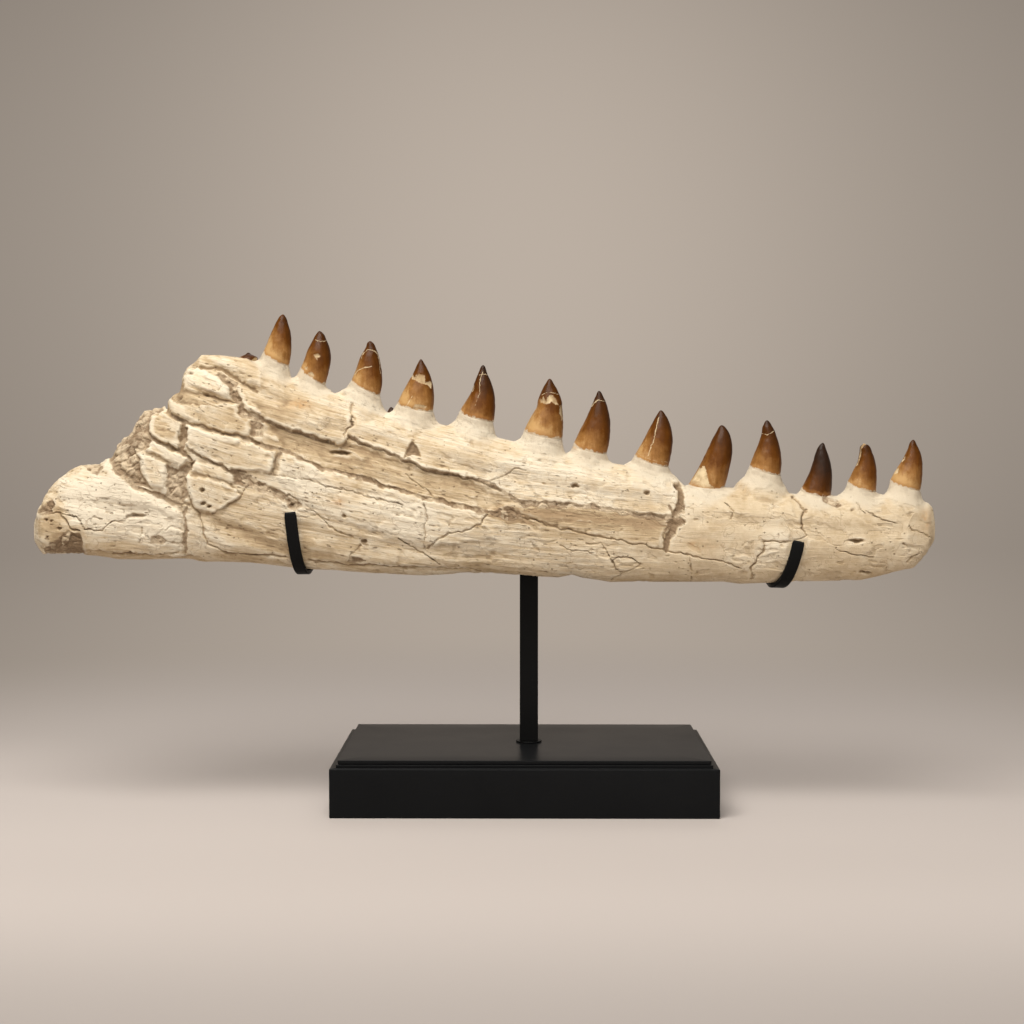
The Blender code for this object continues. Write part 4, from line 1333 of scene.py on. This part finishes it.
def strap_lean(front_x, bottom_x, back_x, front_angle, back_angle):
    """Where along the jaw a strap runs at each angle: evenly to the jaw's underside, then on towards
    the bar, further with the cube of the way."""
    angle = np.radians(np.linspace(front_angle, back_angle, STRAP_RINGS))
    under = -math.pi / 2
    to_bottom = np.clip((angle - angle[0]) / (under - angle[0]), 0, 1)
    to_back = np.clip((angle - under) / (angle[-1] - under), 0, 1)
    before = front_x + to_bottom * (bottom_x - front_x)
    return np.where(angle < under, before, bottom_x + to_back ** 3 * (back_x - bottom_x)), angle


def strap_path(place, lift):
    """Middle line of a strap: the jaw's own section a little outside it."""
    x, angle = strap_lean(*place)
    y, z = jaw_section(x, angle, lift)
    return softened(np.stack((x, y, z), 1), 12)


def build_straps(settings, material):
    """Flat section with eased outer edges carried along each strap's path, its ends eased too."""
    half_wide = settings.strap_width / MM / 2
    half_thick = settings.strap_thickness / MM / 2
    section = rounded_outline(half_wide, half_thick, settings.strap_edge_round / MM, 6, 4)
    easing = np.ones((STRAP_RINGS, 1, 1))
    easing[:4, 0, 0] = STRAP_END
    easing[-4:, 0, 0] = STRAP_END[::-1]
    for name, node, *place in STRAPS:
        path = strap_path(place, half_thick + STRAP_CLEARANCE)
        forward = np.gradient(path, axis=0)
        forward /= np.linalg.norm(forward, axis=1, keepdims=True)
        middle = (path[0, 2] + path[:, 2].min()) / 2
        outward = path - (0.0, JAW_CENTRE_Y, middle)
        outward[:, 0] = 0
        outward -= forward * (outward * forward).sum(axis=1, keepdims=True)
        outward /= np.linalg.norm(outward, axis=1, keepdims=True)
        sideways = np.cross(forward, outward)
        flat = sideways[:, None, :] * section[None, :, :1]
        thick = outward[:, None, :] * section[None, :, 1:]
        tube_piece(name, path[:, None, :] + (flat + thick) * easing, material, (node,))


# Materials

class Signal:
    """A shader socket that Python arithmetic works on: each operation adds a Math node."""

    def __init__(self, tree, socket):
        self.tree = tree
        self.socket = socket

    def math(self, operation, *values):
        return add_node(self.tree, "ShaderNodeMath", {"operation": operation}, dict(enumerate(values)))

    def __add__(self, other):
        return self.math("ADD", self, other)

    def __radd__(self, other):
        return self.math("ADD", other, self)

    def __sub__(self, other):
        return self.math("SUBTRACT", self, other)

    def __rsub__(self, other):
        return self.math("SUBTRACT", other, self)

    def __mul__(self, other):
        return self.math("MULTIPLY", self, other)

    def __rmul__(self, other):
        return self.math("MULTIPLY", other, self)

    def __truediv__(self, other):
        return self.math("DIVIDE", self, other)

    def __rtruediv__(self, other):
        return self.math("DIVIDE", other, self)

    def exponent(self):
        return self.math("EXPONENT", self)

    def root(self):
        return self.math("SQRT", self)

    def absolute(self):
        return self.math("ABSOLUTE", self)

    def highest(self, other):
        return self.math("MAXIMUM", self, other)

    def stepped(self, low, high):
        """0 below low, 1 above high, smooth between. With low above high it falls instead."""
        ends = {"From Min": low, "From Max": high, "To Min": 0.0, "To Max": 1.0}
        settings = {"interpolation_type": "SMOOTHSTEP"}
        return add_node(self.tree, "ShaderNodeMapRange", settings, {"Value": self, **ends})

    def mixed(self, a, b):
        """The colour this share of the way from a to b."""
        a, b = (value if isinstance(value, Signal) else (*value[:3], 1.0) for value in (a, b))
        return add_node(self.tree, "ShaderNodeMix", {"data_type": "RGBA"}, {0: self, 6: a, 7: b}, 2)

    def ramp(self, *stops):
        """The colour at this value, from stops that are each a place and a colour."""
        return add_node(self.tree, "ShaderNodeValToRGB", {"stops": stops}, {"Fac": self})

    def split(self):
        return [add_node(self.tree, "ShaderNodeSeparateXYZ", {}, {0: self}, axis) for axis in range(3)]

    def cloud(self, scale, detail, roughness):
        """Noise from 0 to 1 at this place."""
        values = {"Vector": self, "Scale": scale, "Detail": detail, "Roughness": roughness}
        return add_node(self.tree, "ShaderNodeTexNoise", {}, values, "Fac")

    def spots(self, scale, share):
        """1 in small round spots at this place, which this share of the pattern's cells has."""
        values = {"Vector": self, "Scale": scale}
        distance = add_node(self.tree, "ShaderNodeTexVoronoi", {}, values, "Distance")
        cell = add_node(self.tree, "ShaderNodeTexVoronoi", {}, values, "Color").split()[0]
        return distance.stepped(0.27, 0.12) * cell.stepped(1.0 - share, 1.02 - share)

    def bumped(self, distance, strength):
        """A normal for this height."""
        values = {"Height": self, "Distance": distance, "Strength": strength}
        return add_node(self.tree, "ShaderNodeBump", {}, values, "Normal")


def add_node(tree, kind, settings, values, output=0):
    """Adds a node, its settings first, then the values or links of its sockets; gives an output."""
    node = tree.nodes.new(kind)
    for key, value in settings.items():
        if key == "stops":
            fill_ramp(node.color_ramp, value)
        else:
            setattr(node, key, value)
    connect(node, values)
    return Signal(tree, node.outputs[output])


def connect(node, values):
    """Links or sets a node's input sockets."""
    for key, value in values.items():
        if isinstance(value, Signal):
            value.tree.links.new(value.socket, node.inputs[key])
        else:
            node.inputs[key].default_value = value


def fill_ramp(ramp, stops):
    """Gives a ramp these stops: place and colour."""
    while len(ramp.elements) < len(stops):
        ramp.elements.new(0.5)
    for element, (place, colour) in zip(ramp.elements, stops):
        element.position = place
        element.color = (*colour, 1.0)


def attributes(tree, *names):
    return [add_node(tree, "ShaderNodeAttribute", {"attribute_name": name}, {}, "Fac") for name in names]


def vector(x, y, z):
    return add_node(x.tree, "ShaderNodeCombineXYZ", {}, {0: x, 1: y, 2: z})


def start_material(name):
    """New material with only its shader and output. Gives it, its tree, its shader and the place."""
    material = bpy.data.materials.new(name)
    material.use_nodes = True
    tree = material.node_tree
    place = add_node(tree, "ShaderNodeTexCoord", {}, {}, "Object")
    return material, tree, tree.nodes["Principled BSDF"], place


def whole_bone(tree, place, mottle, hollow, colours):
    """Colour and height of whole bone: cream to tan, lined along its grain, chalky on pedestals, with
    painted shade in hollows and underneath and painted highlight on ridges.
    """
    strata, pale, tint, under, beside, stain = attributes(
        tree, "strata", "pale", "tint", "under", "beside", "stain"
    )
    x, y, z = place.split()
    front = x.stepped(0.03, 0.12)
    lined = 1.0 - front * 0.75
    patches = place.cloud(20.0, 3.0, 0.6)
    streaks = vector(x * 22.0, strata * 0.17, y * 50.0).cloud(1.0, 4.0, 0.6)
    fibres = vector(x * 60.0, strata * 1.1, y * 260.0).cloud(1.0, 3.0, 0.6)
    upright = vector(x * 900.0, y * 900.0, z * 120.0).cloud(1.0, 2.0, 0.6)
    fibres = fibres + (upright - fibres) * pale.stepped(0.35, 0.8)
    tone = 0.58 + (patches - 0.5) * 0.32 + (streaks - 0.5) * 0.28 * lined + (fibres - 0.5) * 0.24 * lined
    # Painted shade: the tone is lowered where the surface faces down and where it lies in a hollow
    tone = tone + (mottle - 0.5) * 0.16 + tint - under * 0.035 - hollow * 0.06
    colour = tone.ramp(
        (0.42, colours.bone_dark), (0.50, colours.bone_tan), (0.57, colours.bone_cream),
        (0.66, colours.bone_pale),
    )
    lines = (fibres * 0.7 + streaks * 0.3).stepped(0.44, 0.34)
    colour = (lines * 0.3 * (1.0 - pale * 0.6) * lined).mixed(colour, colours.bone_stain)
    hairs = vector(x * 34.0, strata * 0.5, y * 110.0).cloud(1.0, 2.0, 0.5)
    hairs = (hairs - 0.5).absolute().stepped(0.022, 0.004) * (mottle + streaks * 0.6).stepped(0.72, 0.88)
    curls = (place.cloud(85.0, 2.0, 0.6) - 0.5).absolute().stepped(0.012, 0.003)
    curls = curls * (patches + mottle * 0.4).stepped(0.66, 0.78)
    thin = (hairs * lined).highest(curls * 0.8)
    colour = (thin * 0.5 * (1.0 - pale)).mixed(colour, colours.bone_stain)
    colour = ((pale + mottle * 0.5 - 0.25).stepped(0.1, 0.85) * 0.8).mixed(colour, colours.pedestal)
    grime = (beside * 0.5 + place.cloud(130.0, 3.0, 0.6)).stepped(0.86, 1.05)
    colour = (grime * 0.4).mixed(colour, colours.grime)
    colour = (stain * mottle.stepped(0.35, 0.6) * 0.6).mixed(colour, colours.rust)
    # Painted shade: hollows mixed towards the dark dirt-and-shade colour. Painted highlight: ridges mixed
    # towards pale bone
    colour = ((hollow + mottle * 0.6 - 0.3).stepped(0.0, 0.85) * 0.5).mixed(colour, colours.dirt_and_shade)
    colour = ((hollow * -1.0 + mottle * 0.3).stepped(0.3, 0.9) * 0.5).mixed(colour, colours.bone_pale)
    dashes = vector(x * 0.4, strata * 0.0011, y).spots(330.0, 0.25) * (1.0 - front)
    specks = place.spots(320.0, 0.16).highest(dashes) * (1.0 - pale * 0.7)
    colour = (specks * 0.6).mixed(colour, colours.dirt_and_shade)
    return colour, fibres * 0.4 - thin * 0.3 - specks * 0.7


def rough_matrix(tree, mottle, grit, hollow, colours):
    """Colour of the matrix: taupe grains and pale crumbs, with painted shade in its hollows."""
    lump, tint = attributes(tree, "lump", "tint")
    grains = (lump * 0.5 + mottle * 0.35 + grit * 0.25 + tint * 2.0).stepped(0.36, 0.7)
    colour = grains.mixed(colours.matrix_dark, colours.matrix_light)
    colour = (lump.stepped(0.72, 0.85) * 0.6).mixed(colour, colours.bone_cream)
    # Painted shade: the matrix's hollows mixed towards dark matrix
    return (hollow.stepped(0.0, 0.8) * 0.45).mixed(colour, colours.matrix_dark)


def bone_material(colours):
    """Fossil bone and the matrix between its parts, both dark in cracks and holes."""
    material, tree, shader, place = start_material("fossil_bone_surface")
    crack, matrix, hollow = attributes(tree, "crack", "matrix", "hollow")
    mottle = place.cloud(210.0, 3.0, 0.65)
    grit = place.cloud(950.0, 2.0, 0.7)
    colour, height = whole_bone(tree, place, mottle, hollow, colours)
    rough = (matrix + (mottle - 0.5) * 3.0 + (grit - 0.5) * 1.5).stepped(-0.5, 0.8)
    colour = (rough * 0.92).mixed(colour, rough_matrix(tree, mottle, grit, hollow, colours))
    halo = (crack + (mottle - 0.5) * 0.5).stepped(0.3, 0.8)
    colour = (halo * 0.38).mixed(colour, colours.dirt_and_shade)
    ink = (crack + (grit - 0.5) * 0.3 + (mottle - 0.5) * 0.35).stepped(0.64, 0.9)
    colour = (ink * 0.75).mixed(colour, colours.crack)
    height = height + grit * (0.2 + rough * 0.6) + mottle * 0.35 - ink * 0.6
    connect(shader, {
        "Base Color": colour, "Roughness": 0.7 + mottle * 0.25, "Specular IOR Level": 0.25,
        "Normal": height.bumped(0.0009, 0.8),
    })
    return material


def enamel_material(colours):
    """Crown enamel: ochre foot, orange brown middle, near-black tip, with fine streaks and chips."""
    material, tree, shader, place = start_material("tooth_enamel_surface")
    rise, chip, crack, darkness = attributes(tree, "rise", "chip", "crack", "darkness")
    x, y, z = place.split()
    streaks = vector(x * 420.0, y * 420.0, z * 34.0).cloud(1.0, 4.0, 0.65)
    blotch = place.cloud(95.0, 4.0, 0.6)
    fine = place.cloud(800.0, 3.0, 0.7)
    tone = rise * 0.8 + (streaks - 0.5) * 0.3 + (blotch - 0.5) * 0.5 + (fine - 0.5) * 0.12
    # darkness holds each crown's own darkness plus painted shade on its right side
    colour = (tone + (darkness - 0.55) * 0.6).ramp(
        (0.0, colours.enamel_foot), (0.15, colours.enamel_ochre), (0.38, colours.enamel_brown),
        (0.62, colours.enamel_dark), (0.95, colours.enamel_tip),
    )
    broken = (chip + (fine - 0.5) * 3.0 + (blotch - 0.5) * 3.0).stepped(-0.5, 0.7)
    dentine = blotch.stepped(0.35, 0.65).mixed(colours.dentine_shade, colours.dentine)
    colour = broken.mixed(colour, dentine)
    line = (crack + (fine - 0.5) * 0.3).stepped(0.6, 0.85)
    colour = (line * 0.75).mixed(colour, colours.dentine)
    ragged = rise + (blotch - 0.5) * 0.16 + (place.cloud(420.0, 2.0, 0.6) - 0.5) * 0.09
    colour = (ragged.stepped(0.12, 0.05) * 0.5).mixed(colour, colours.enamel_rim)
    foot = ragged.stepped(0.045, 0.015)
    colour = (foot * 0.85).mixed(colour, colours.pedestal)
    connect(shader, {
        "Base Color": colour, "Roughness": 0.36 + (blotch - 0.5) * 0.3 + broken * 0.3 + foot * 0.25,
        "Coat Weight": 0.05 - broken * 0.05, "Coat Roughness": 0.3, "Specular IOR Level": 0.11,
        "Normal": (streaks * 0.5 + fine * 0.2 - line * 0.5).bumped(0.0006, 0.6),
    })
    return material


def black_material(name, colour, roughness, grain, gloss):
    """Satin black paint: faint orange peel, a little dust, and uneven gloss."""
    material, _, shader, place = start_material(name)
    smears = place.cloud(14.0, 3.0, 0.6)
    dust = place.cloud(1500.0, 2.0, 0.6).stepped(0.64, 0.74)
    painted = smears.mixed([part * 0.8 for part in colour], [part * 1.3 for part in colour])
    connect(shader, {
        "Base Color": (dust * 0.06).mixed(painted, DUST_COLOUR), "Specular IOR Level": gloss,
        "Roughness": roughness + (smears - 0.5) * 0.12,
        "Normal": place.cloud(grain, 2.0, 0.5).bumped(0.00012, 0.35),
    })
    return material


def stage_material(settings):
    """Pale paper under the stand, with painted shade that makes it a little darker in front and behind.
    Further away it glows evenly as painted light, the way a well lit sweep of paper looks.

    The glow has a pool of light behind the jaw: 0.55 + 0.45 * e^-(x / spread)^2, less above and below.
    """
    material, tree, shader, place = start_material("stage_paper")
    x, y, z = place.split()
    offset = x / (0.55 + y.absolute() * 0.16)
    raised = z - 0.7
    pool = (0.55 + (offset * offset * -1.0).exponent() * 0.45) * (1.0 - raised * raised * 0.28)
    glow = pool.mixed(BLACK, settings.backdrop)
    emission = add_node(tree, "ShaderNodeEmission", {}, {"Color": glow, "Strength": 1.0})
    # Painted shade: the floor colour falls off in front of the stand and behind it
    shade = 1.0 - y.stepped(-0.25, -0.5) * 0.3 - y.stepped(0.0, 0.26) * 0.17
    floor = shade.mixed(BLACK, settings.floor)
    connect(shader, {"Base Color": floor, "Roughness": 0.9, "Specular IOR Level": 0.1})
    away = (x * x + y * y).root().stepped(0.4, 0.95)
    paper = Signal(tree, shader.outputs[0])
    both = add_node(tree, "ShaderNodeMixShader", {}, {0: away, 1: paper, 2: emission})
    connect(tree.nodes["Material Output"], {"Surface": both})
    return material


# The stage

def build_bowl(material):
    """A flat floor that curves up into a wall: a profile turned about the upright axis."""
    turn = np.linspace(0, 2 * math.pi, 97)[:, None]
    flat = np.linspace(0.0, FLOOR_RADIUS, 14)
    bend = np.linspace(0, math.pi / 2, 16)[1:]
    wall = FLOOR_RADIUS + BOWL_BEND
    radius = np.concatenate((flat, FLOOR_RADIUS + BOWL_BEND * np.sin(bend), (wall, wall)))
    height = np.concatenate((np.zeros_like(flat), BOWL_BEND * (1 - np.cos(bend)), BOWL_WALL))
    x, y = radius * np.cos(turn), radius * np.sin(turn)
    points = np.stack(np.broadcast_arrays(x, y, height), axis=-1)
    rows, columns = points.shape[:2]
    first = np.arange(rows - 1)[:, None] * columns + np.arange(columns - 1)
    quads = np.stack((first, first + 1, first + columns + 1, first + columns), axis=-1).reshape(-1, 4)
    mesh = bpy.data.meshes.new("stage_bowl")
    mesh.from_pydata((points.reshape(-1, 3) * MM).tolist(), [], quads[:, ::-1].tolist())
    mesh.validate()
    mesh.shade_smooth()
    mesh.materials.append(material)
    bowl = bpy.data.objects.new("stage_bowl", mesh)
    bpy.context.scene.collection.objects.link(bowl)


def add_area_light(name, power, place, target, size, colour):
    """A soft rectangular light that shines from its place on a target."""
    data = bpy.data.lights.new(name, "AREA")
    data.shape = "RECTANGLE"
    data.size, data.size_y = size
    data.energy = power
    data.color = colour
    lamp = bpy.data.objects.new(name, data)
    lamp.location = place
    x, y, z = np.subtract(target, place)
    lamp.rotation_euler = (math.acos(-z / math.hypot(x, y, z)), 0.0, math.atan2(y, x) - math.pi / 2)
    lamp.visible_camera = False
    bpy.context.scene.collection.objects.link(lamp)


def light_studio(settings):
    """The soft lights, even light from all around, and plain colours with few bounces."""
    for name, power, *placing in LIGHTS:
        add_area_light(name, getattr(settings, power), *placing)
    world = bpy.data.worlds.new("studio_air")
    world.use_nodes = True
    air = {"Color": (1.0, 0.96, 0.9, 1.0), "Strength": settings.air_light}
    connect(world.node_tree.nodes["Background"], air)
    scene = bpy.context.scene
    scene.world = world
    scene.view_settings.view_transform = "Standard"
    scene.cycles.max_bounces = 4
    scene.cycles.diffuse_bounces = 2
    scene.cycles.glossy_bounces = 2


def add_camera():
    data = bpy.data.cameras.new("photo_camera")
    data.lens = FOCAL_LENGTH
    data.sensor_width = SENSOR_WIDTH
    data.clip_start = 0.05
    data.clip_end = 20.0
    camera = bpy.data.objects.new("photo_camera", data)
    camera.location = tuple(CAMERA_AT * MM)
    camera.rotation_euler = (math.pi / 2 - CAMERA_TILT, 0.0, CAMERA_PAN)
    bpy.context.scene.collection.objects.link(camera)
    bpy.context.scene.camera = camera


# The add-on

def size_setting(name, description, default, low, high):
    return bpy.props.FloatProperty(
        name=name, description=description, default=default, min=low, max=high, unit="LENGTH", precision=4
    )


def colour_setting(name, description, default):
    return bpy.props.FloatVectorProperty(
        name=name, description=description, default=default, min=0.0, max=1.0, size=3, subtype="COLOR"
    )


def power_setting(name, description, default):
    return bpy.props.FloatProperty(
        name=name, description=description, default=default, min=0.0, unit="POWER"
    )


class StandSettings(bpy.types.PropertyGroup):
    """Sizes and colours of the black stand."""
    strap_width: size_setting("Strap width", "Width of the flat straps", 0.008, 0.004, 0.01)
    strap_thickness: size_setting("Strap thickness", "Thickness of the flat straps", 0.003, 0.001, 0.003)
    strap_edge_round: size_setting("Strap edge", "Radius of a strap's edges", 0.0007, 0.0002, 0.0014)
    base_edge_round: size_setting("Block edge", "Radius of the block's edges", 0.0008, 0.0002, 0.002)
    plate_edge_round: size_setting("Plate edge", "Radius of the plate's top edge", 0.0004, 0.0001, 0.001)
    post_edge_round: size_setting("Post edge", "Radius of the edges of post and bar", 0.0006, 0.0002, 0.002)
    step_inset: size_setting("Step inset", "Width of the tread round the block's top", 0.0042, 0.001, 0.005)
    step_height: size_setting("Step height", "Height of the step under the plate", 0.002, 0.0005, 0.004)
    base_colour: colour_setting("Base colour", "Lacquer of block and plate", (0.007, 0.0073, 0.0078))
    metal_colour: colour_setting("Metal colour", "Paint of the post, bar and straps", (0.006, 0.006, 0.006))


class FossilColours(bpy.types.PropertyGroup):
    """Colours of the bone, the matrix and the crowns."""
    # Pale bone is the palest random tone, and also the painted highlight on the bone's ridges and high
    # places
    bone_pale: colour_setting("Pale bone", "Worn high places of the bone", (0.77, 0.68, 0.53))
    bone_cream: colour_setting("Cream bone", "Light parts of the bone", (0.665, 0.54, 0.37))
    bone_tan: colour_setting("Tan bone", "Most of the bone", (0.525, 0.395, 0.24))
    bone_dark: colour_setting("Dark bone", "Darkest streaks along the grain", (0.37, 0.26, 0.15))
    bone_stain: colour_setting("Stain", "Brown lines along the grain", (0.36, 0.235, 0.125))
    rust: colour_setting("Rust", "Orange stains", (0.52, 0.27, 0.09))
    grime: colour_setting("Grime", "Taupe remains beside the crowns", (0.40, 0.32, 0.23))
    pedestal: colour_setting("Pedestal", "Chalky bone under the crowns", (0.63, 0.55, 0.425))
    # Dirt in cracks, round seams and in specks, and also the painted shade in the bone's hollows
    dirt_and_shade: colour_setting("Dirt", "Dirt in hollows", (0.22, 0.145, 0.08))
    crack: colour_setting("Crack", "Bottom of cracks and holes", (0.10, 0.062, 0.033))
    matrix_light: colour_setting("Light matrix", "Grains of the matrix", (0.56, 0.44, 0.30))
    # Dark matrix is the matrix's dark grains, and also the painted shade in its hollows
    matrix_dark: colour_setting("Dark matrix", "Hollows of the matrix", (0.27, 0.185, 0.11))
    enamel_rim: colour_setting("Enamel rim", "Thin edge of the enamel at its foot", (0.36, 0.165, 0.05))
    enamel_foot: colour_setting("Enamel foot", "Enamel beside the bone", (0.50, 0.30, 0.12))
    enamel_ochre: colour_setting("Ochre enamel", "Lower part of a crown", (0.29, 0.135, 0.038))
    enamel_brown: colour_setting("Brown enamel", "Middle of a crown", (0.125, 0.041, 0.005))
    enamel_dark: colour_setting("Dark enamel", "Upper part of a crown", (0.066, 0.021, 0.003))
    enamel_tip: colour_setting("Enamel tip", "Tip of a crown", (0.027, 0.013, 0.007))
    dentine: colour_setting("Dentine", "Where enamel is chipped off", (0.66, 0.52, 0.32))
    dentine_shade: colour_setting("Shaded dentine", "Hollows of the chipped places", (0.34, 0.22, 0.11))


class StageSettings(bpy.types.PropertyGroup):
    """Lights and colours of the studio."""
    floor: colour_setting("Floor", "Paper under the stand", (0.505, 0.454, 0.424))
    backdrop: colour_setting("Backdrop", "Glow of the paper behind the stand", (0.5, 0.428, 0.363))
    key_power: power_setting("Key light", "Large soft light above", 48.0)
    fill_power: power_setting("Fill light", "Soft light from the front", 9.0)
    back_power: power_setting("Back light", "Soft light from behind", 8.0)
    air_light: bpy.props.FloatProperty(
        name="Air light", description="Even light from all around", default=0.30, min=0.0
    )


class MOSASAUR_OT_stage(bpy.types.Operator):
    """Make the camera, the paper bowl and the soft lights"""
    bl_idname = "mosasaur.stage"
    bl_label = "Stage"

    def execute(self, context):
        settings = context.scene.mosasaur_stage
        add_camera()
        build_bowl(stage_material(settings))
        light_studio(settings)
        return {"FINISHED"}


class MOSASAUR_OT_stand(bpy.types.Operator):
    """Make the base, the post with its bar, and the two straps"""
    bl_idname = "mosasaur.stand"
    bl_label = "Stand"

    def execute(self, context):
        settings = context.scene.mosasaur_stand
        lacquer = black_material("black_lacquer", tuple(settings.base_colour), 0.3, 900.0, 0.045)
        paint = black_material("black_paint", tuple(settings.metal_colour), 0.42, 1600.0, 0.06)
        build_base(settings, lacquer)
        build_post(settings, paint)
        build_straps(settings, paint)
        return {"FINISHED"}


class MOSASAUR_OT_bone(bpy.types.Operator):
    """Make the jaw bone in three joined pieces"""
    bl_idname = "mosasaur.bone"
    bl_label = "Jaw bone"

    def execute(self, context):
        build_bone(bone_material(context.scene.mosasaur_colours))
        return {"FINISHED"}


class MOSASAUR_OT_crowns(bpy.types.Operator):
    """Make the thirteen crowns, the broken stub and the small new tip"""
    bl_idname = "mosasaur.crowns"
    bl_label = "Crowns"

    def execute(self, context):
        build_crowns(enamel_material(context.scene.mosasaur_colours))
        return {"FINISHED"}


OPERATORS = (MOSASAUR_OT_stage, MOSASAUR_OT_stand, MOSASAUR_OT_bone, MOSASAUR_OT_crowns)


class MOSASAUR_PT_panel(bpy.types.Panel):
    """Lists the pieces in the order in which they are made"""
    bl_idname = "MOSASAUR_PT_panel"
    bl_label = "Mosasaur Jaw"
    bl_space_type = "VIEW_3D"
    bl_region_type = "UI"
    bl_category = "Mosasaur Jaw"

    def draw(self, context):
        for operator in OPERATORS:
            self.layout.operator(operator.bl_idname)
        for name in SETTINGS:
            group = getattr(context.scene, name)
            box = self.layout.box()
            for key in group.bl_rna.properties.keys():
                if key not in ("rna_type", "name"):
                    box.prop(group, key)


SETTINGS = {
    "mosasaur_stand": StandSettings, "mosasaur_colours": FossilColours, "mosasaur_stage": StageSettings,
}
CLASSES = (*SETTINGS.values(), *OPERATORS, MOSASAUR_PT_panel)


def register():
    for added in CLASSES:
        bpy.utils.register_class(added)
    for name, group in SETTINGS.items():
        setattr(bpy.types.Scene, name, bpy.props.PointerProperty(type=group))


def unregister():
    for name in SETTINGS:
        delattr(bpy.types.Scene, name)
    for added in reversed(CLASSES):
        bpy.utils.unregister_class(added)


def main():
    register()
    for operator in OPERATORS:
        group, name = operator.bl_idname.split(".")
        getattr(getattr(bpy.ops, group), name)()


if __name__ == "__main__":
    main()
